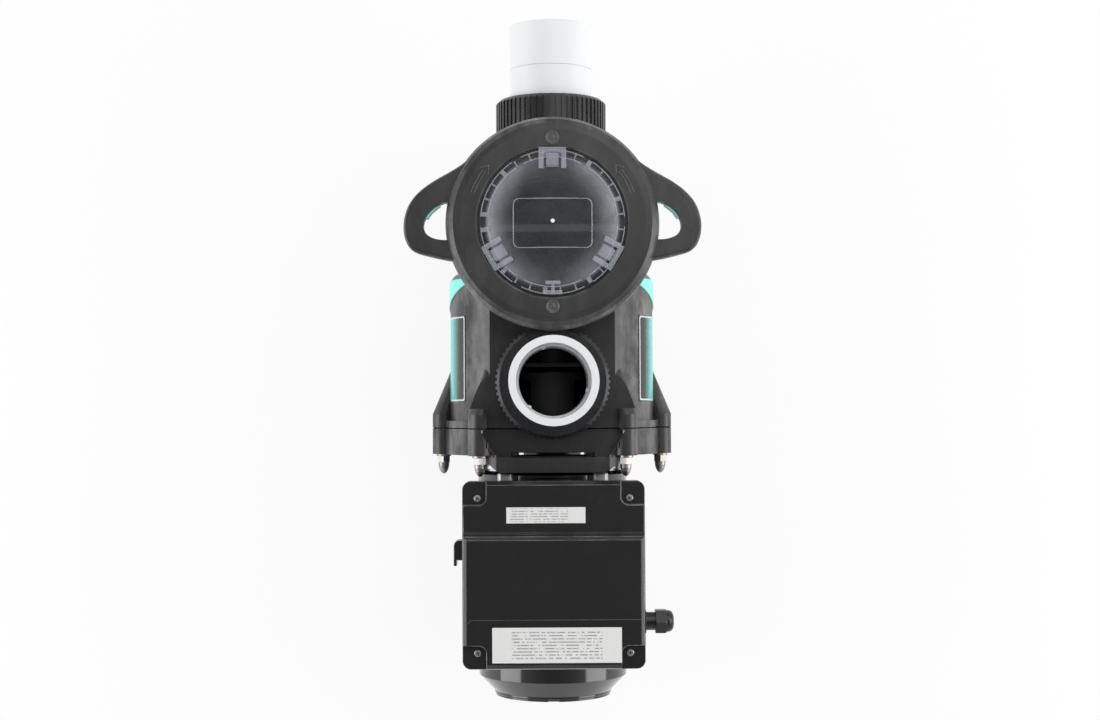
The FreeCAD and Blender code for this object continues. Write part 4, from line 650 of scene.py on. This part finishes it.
def addMotorLugs():
    look = lugLook
    for name, side in (("motorLugLeft", 1), ("motorLugRight", -1)):

        def build(bm):
            x, w = side * look["across"], look["halfWidth"]
            y = bellFront + look["setBack"]
            low, high, cx, cz = look["low"], look["high"], look["chamferX"], look["chamferZ"]
            outline = [(x - w, low), (x + w, low), (x + w, high - cz), (x + w - cx, high), (x - w + cx, high),
                       (x - w, high - cz)]
            slab(bm, outline, y, y + look["deep"], lambda a, b, c: (a, c, b))
        addPiece(name, meshFrom(name, build), "pump", "core_steel", slotFinish["lug_alloy"], look["soft"])


screwLook = dict(reach=0.0024, width=0.0005, headRadius=0.004, firstTurn=0.35, sunk=0.0006, proud=0.00008)


# Dark flat crosses on the screw heads: painted shade standing in for their cross recesses.
def addScrewCrossShade():
    look = screwLook
    low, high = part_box("cover_screws")
    inset = look["headRadius"]
    corners = [(x, y) for x in (low.x + inset, high.x - inset) for y in (low.y + inset, high.y - inset)]

    def build(bm):
        for i, (x, y) in enumerate(corners):
            first = look["firstTurn"] + i
            for turn in (first, first + math.pi / 2):
                box(bm, -look["reach"], look["reach"], -look["width"], look["width"], high.z - look["sunk"],
                    high.z + look["proud"], turn, (x, y))
    crossShade = meshFrom("coverScrewCrossShade", build)
    addPiece("coverScrewCrossShade", crossShade, "pump", "core_steel", slotFinish["part_grey"])


# A dark rubber strip fills the seam at each ear, which the CAD leaves open, and stands in for the shade in
# the seam.
earSeamShadeLook = dict(inner=0.112, outer=0.1320, height=0.165, half=0.0105, seamFrom=0.04856, seamTo=0.04964)


def addEarSeamShade():
    look = earSeamShadeLook

    def build(bm):
        for side in (-1, 1):
            xs = sorted((side * look["inner"], side * look["outer"]))
            z = look["height"]
            box(bm, xs[0], xs[1], look["seamFrom"], look["seamTo"], z - look["half"], z + look["half"])
    addPiece("earSeamShade", meshFrom("earSeamShade", build), "pump", "rubber_black")


# A dark sheet closes the slot behind the hood, which the CAD leaves open, and stands in for the shade seen
# down the slot.
slotShadeLook = dict(halfWidth=0.047, front=0.0783, rear=0.0957, height=0.205, thick=0.002, soft=0.0005)


def addSlotShadeSheet():
    look = slotShadeLook

    def build(bm):
        box(bm, -look["halfWidth"], look["halfWidth"], look["front"], look["rear"], look["height"],
            look["height"] + look["thick"])
    addPiece("slotShadeSheet", meshFrom("slotShadeSheet", build), "pump", "inner_plastic", bevel=look["soft"])


# The fine line across the drive cover, with its step at one end.
stepLook = dict(at=0.2463, halfWidth=0.0895, lineWidth=0.0009, rise=0.00012, sunk=0.0004, stepAt=0.003,
                stepDeep=0.003, soft=0.0001)


def addCoverStep():
    look = stepLook
    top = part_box("drive_cover")[1].z

    def build(bm):
        h, w = look["halfWidth"], look["lineWidth"] / 2
        y = look["at"]
        bend, deep = look["stepAt"], look["stepDeep"]
        outline = [(-h, y - w), (h - bend, y - w), (h, y + deep), (h, y + deep + 0.001),
                   (h - bend - 0.0004, y + w), (-h, y + w)]
        slab(bm, outline, top - look["sunk"], top + look["rise"])
    line = meshFrom("coverStepLine", build)
    addPiece("coverStepLine", line, "pump", "box_plastic", slotFinish["box_line"], look["soft"])


addMotorLugs()
addScrewCrossShade()
addEarSeamShade()
addSlotShadeSheet()
addCoverStep()
print("motor detail added")


# The camera looks down, almost upright. Its lens comes from the focal length over the frame's width.
cameraLook = dict(place=(0.017886, 0.024743, 2.098411), right=(-0.999956, 0.004543, 0.008190),
                  up=(-0.004325, -0.999639, 0.026502), focal=1724.4, frameWidth=1100, sensor=36.0,
                  farEnd=20.0)


def addCamera():
    data = bpy.data.cameras.new("viewCamera")
    data.sensor_width = cameraLook["sensor"]
    data.lens = cameraLook["focal"] / cameraLook["frameWidth"] * data.sensor_width
    data.clip_end = cameraLook["farEnd"]
    cam = bpy.data.objects.new("viewCamera", data)
    bpy.context.scene.collection.objects.link(cam)
    right = Vector(cameraLook["right"])
    up = Vector(cameraLook["up"])
    back = right.cross(up).normalized()
    up = back.cross(right).normalized()
    cam.matrix_world = Matrix((right, up, back)).transposed().to_4x4()
    cam.location = cameraLook["place"]
    bpy.context.scene.camera = cam


addCamera()
print("camera placed")


# Floor, lamps and sky. floorWhite is how far the floor shows as plain white instead of shaded.
studio = dict(overhead=0.24, horizon=0.80, lowSky=0.45, highSky=0.98, floorHalf=4.0, floorTone=0.93,
              floorWhite=0.85, aim=(0, 0, 0.2))
lamps = {
    "keyLight": dict(place=(-0.5, -0.9, 1.9), power=11.0, size=1.6),
    "leftLight": dict(place=(1.7, 0.1, 0.8), power=15.0, size=1.2),
    "rightLight": dict(place=(-1.7, 0.1, 0.8), power=15.0, size=1.2),
}


def addStudio():
    mesh = bpy.data.meshes.new("studioFloor")
    s = studio["floorHalf"]
    mesh.from_pydata([(-s, -s, 0), (s, -s, 0), (s, s, 0), (-s, s, 0)], [], [(0, 1, 2, 3)])
    floor = bpy.data.objects.new("studioFloor", mesh)
    bpy.context.scene.collection.objects.link(floor)
    mat, tree, out = newMaterial("floor_finish")
    diffuse = put(tree, "ShaderNodeBsdfDiffuse")
    diffuse.inputs[0].default_value = (studio["floorTone"],) * 3 + (1.0,)
    glow = put(tree, "ShaderNodeEmission")
    path = put(tree, "ShaderNodeLightPath")
    seen = path.outputs["Is Camera Ray"]
    for ray in ("Is Glossy Ray", "Is Transmission Ray"):
        seen = calc(tree, "MAXIMUM", seen, path.outputs[ray])
    seen = calc(tree, "MULTIPLY", seen, studio["floorWhite"])
    mix = put(tree, "ShaderNodeMixShader", {0: seen, 1: diffuse.outputs[0], 2: glow.outputs[0]})
    tree.links.new(mix.outputs[0], out.inputs[0])
    mesh.materials.append(mat)
    world = bpy.data.worlds.new("studioWorld")
    bpy.context.scene.world = world
    world.use_nodes = True
    tree = world.node_tree
    tree.nodes.clear()
    out = tree.nodes.new("ShaderNodeOutputWorld")
    view = put(tree, "ShaderNodeSeparateXYZ", {0: put(tree, "ShaderNodeTexCoord").outputs["Generated"]})
    height = ramp(tree, view.outputs[2], studio["lowSky"], studio["highSky"])
    level = scaleAdd(tree, height, studio["overhead"] - studio["horizon"], studio["horizon"])
    sky = put(tree, "ShaderNodeBackground", {"Color": (1.0, 1.0, 1.0, 1.0), "Strength": level})
    tree.links.new(sky.outputs[0], out.inputs[0])
    for name, look in lamps.items():
        lamp = bpy.data.lights.new(name, "AREA")
        lamp.energy = look["power"]
        lamp.size = look["size"]
        obj = bpy.data.objects.new(name, lamp)
        bpy.context.scene.collection.objects.link(obj)
        obj.location = look["place"]
        towards = Vector(studio["aim"]) - Vector(look["place"])
        obj.rotation_euler = towards.to_track_quat("-Z", "Y").to_euler()


addStudio()
bpy.context.scene.view_settings.view_transform = "Standard"
print("studio ready")
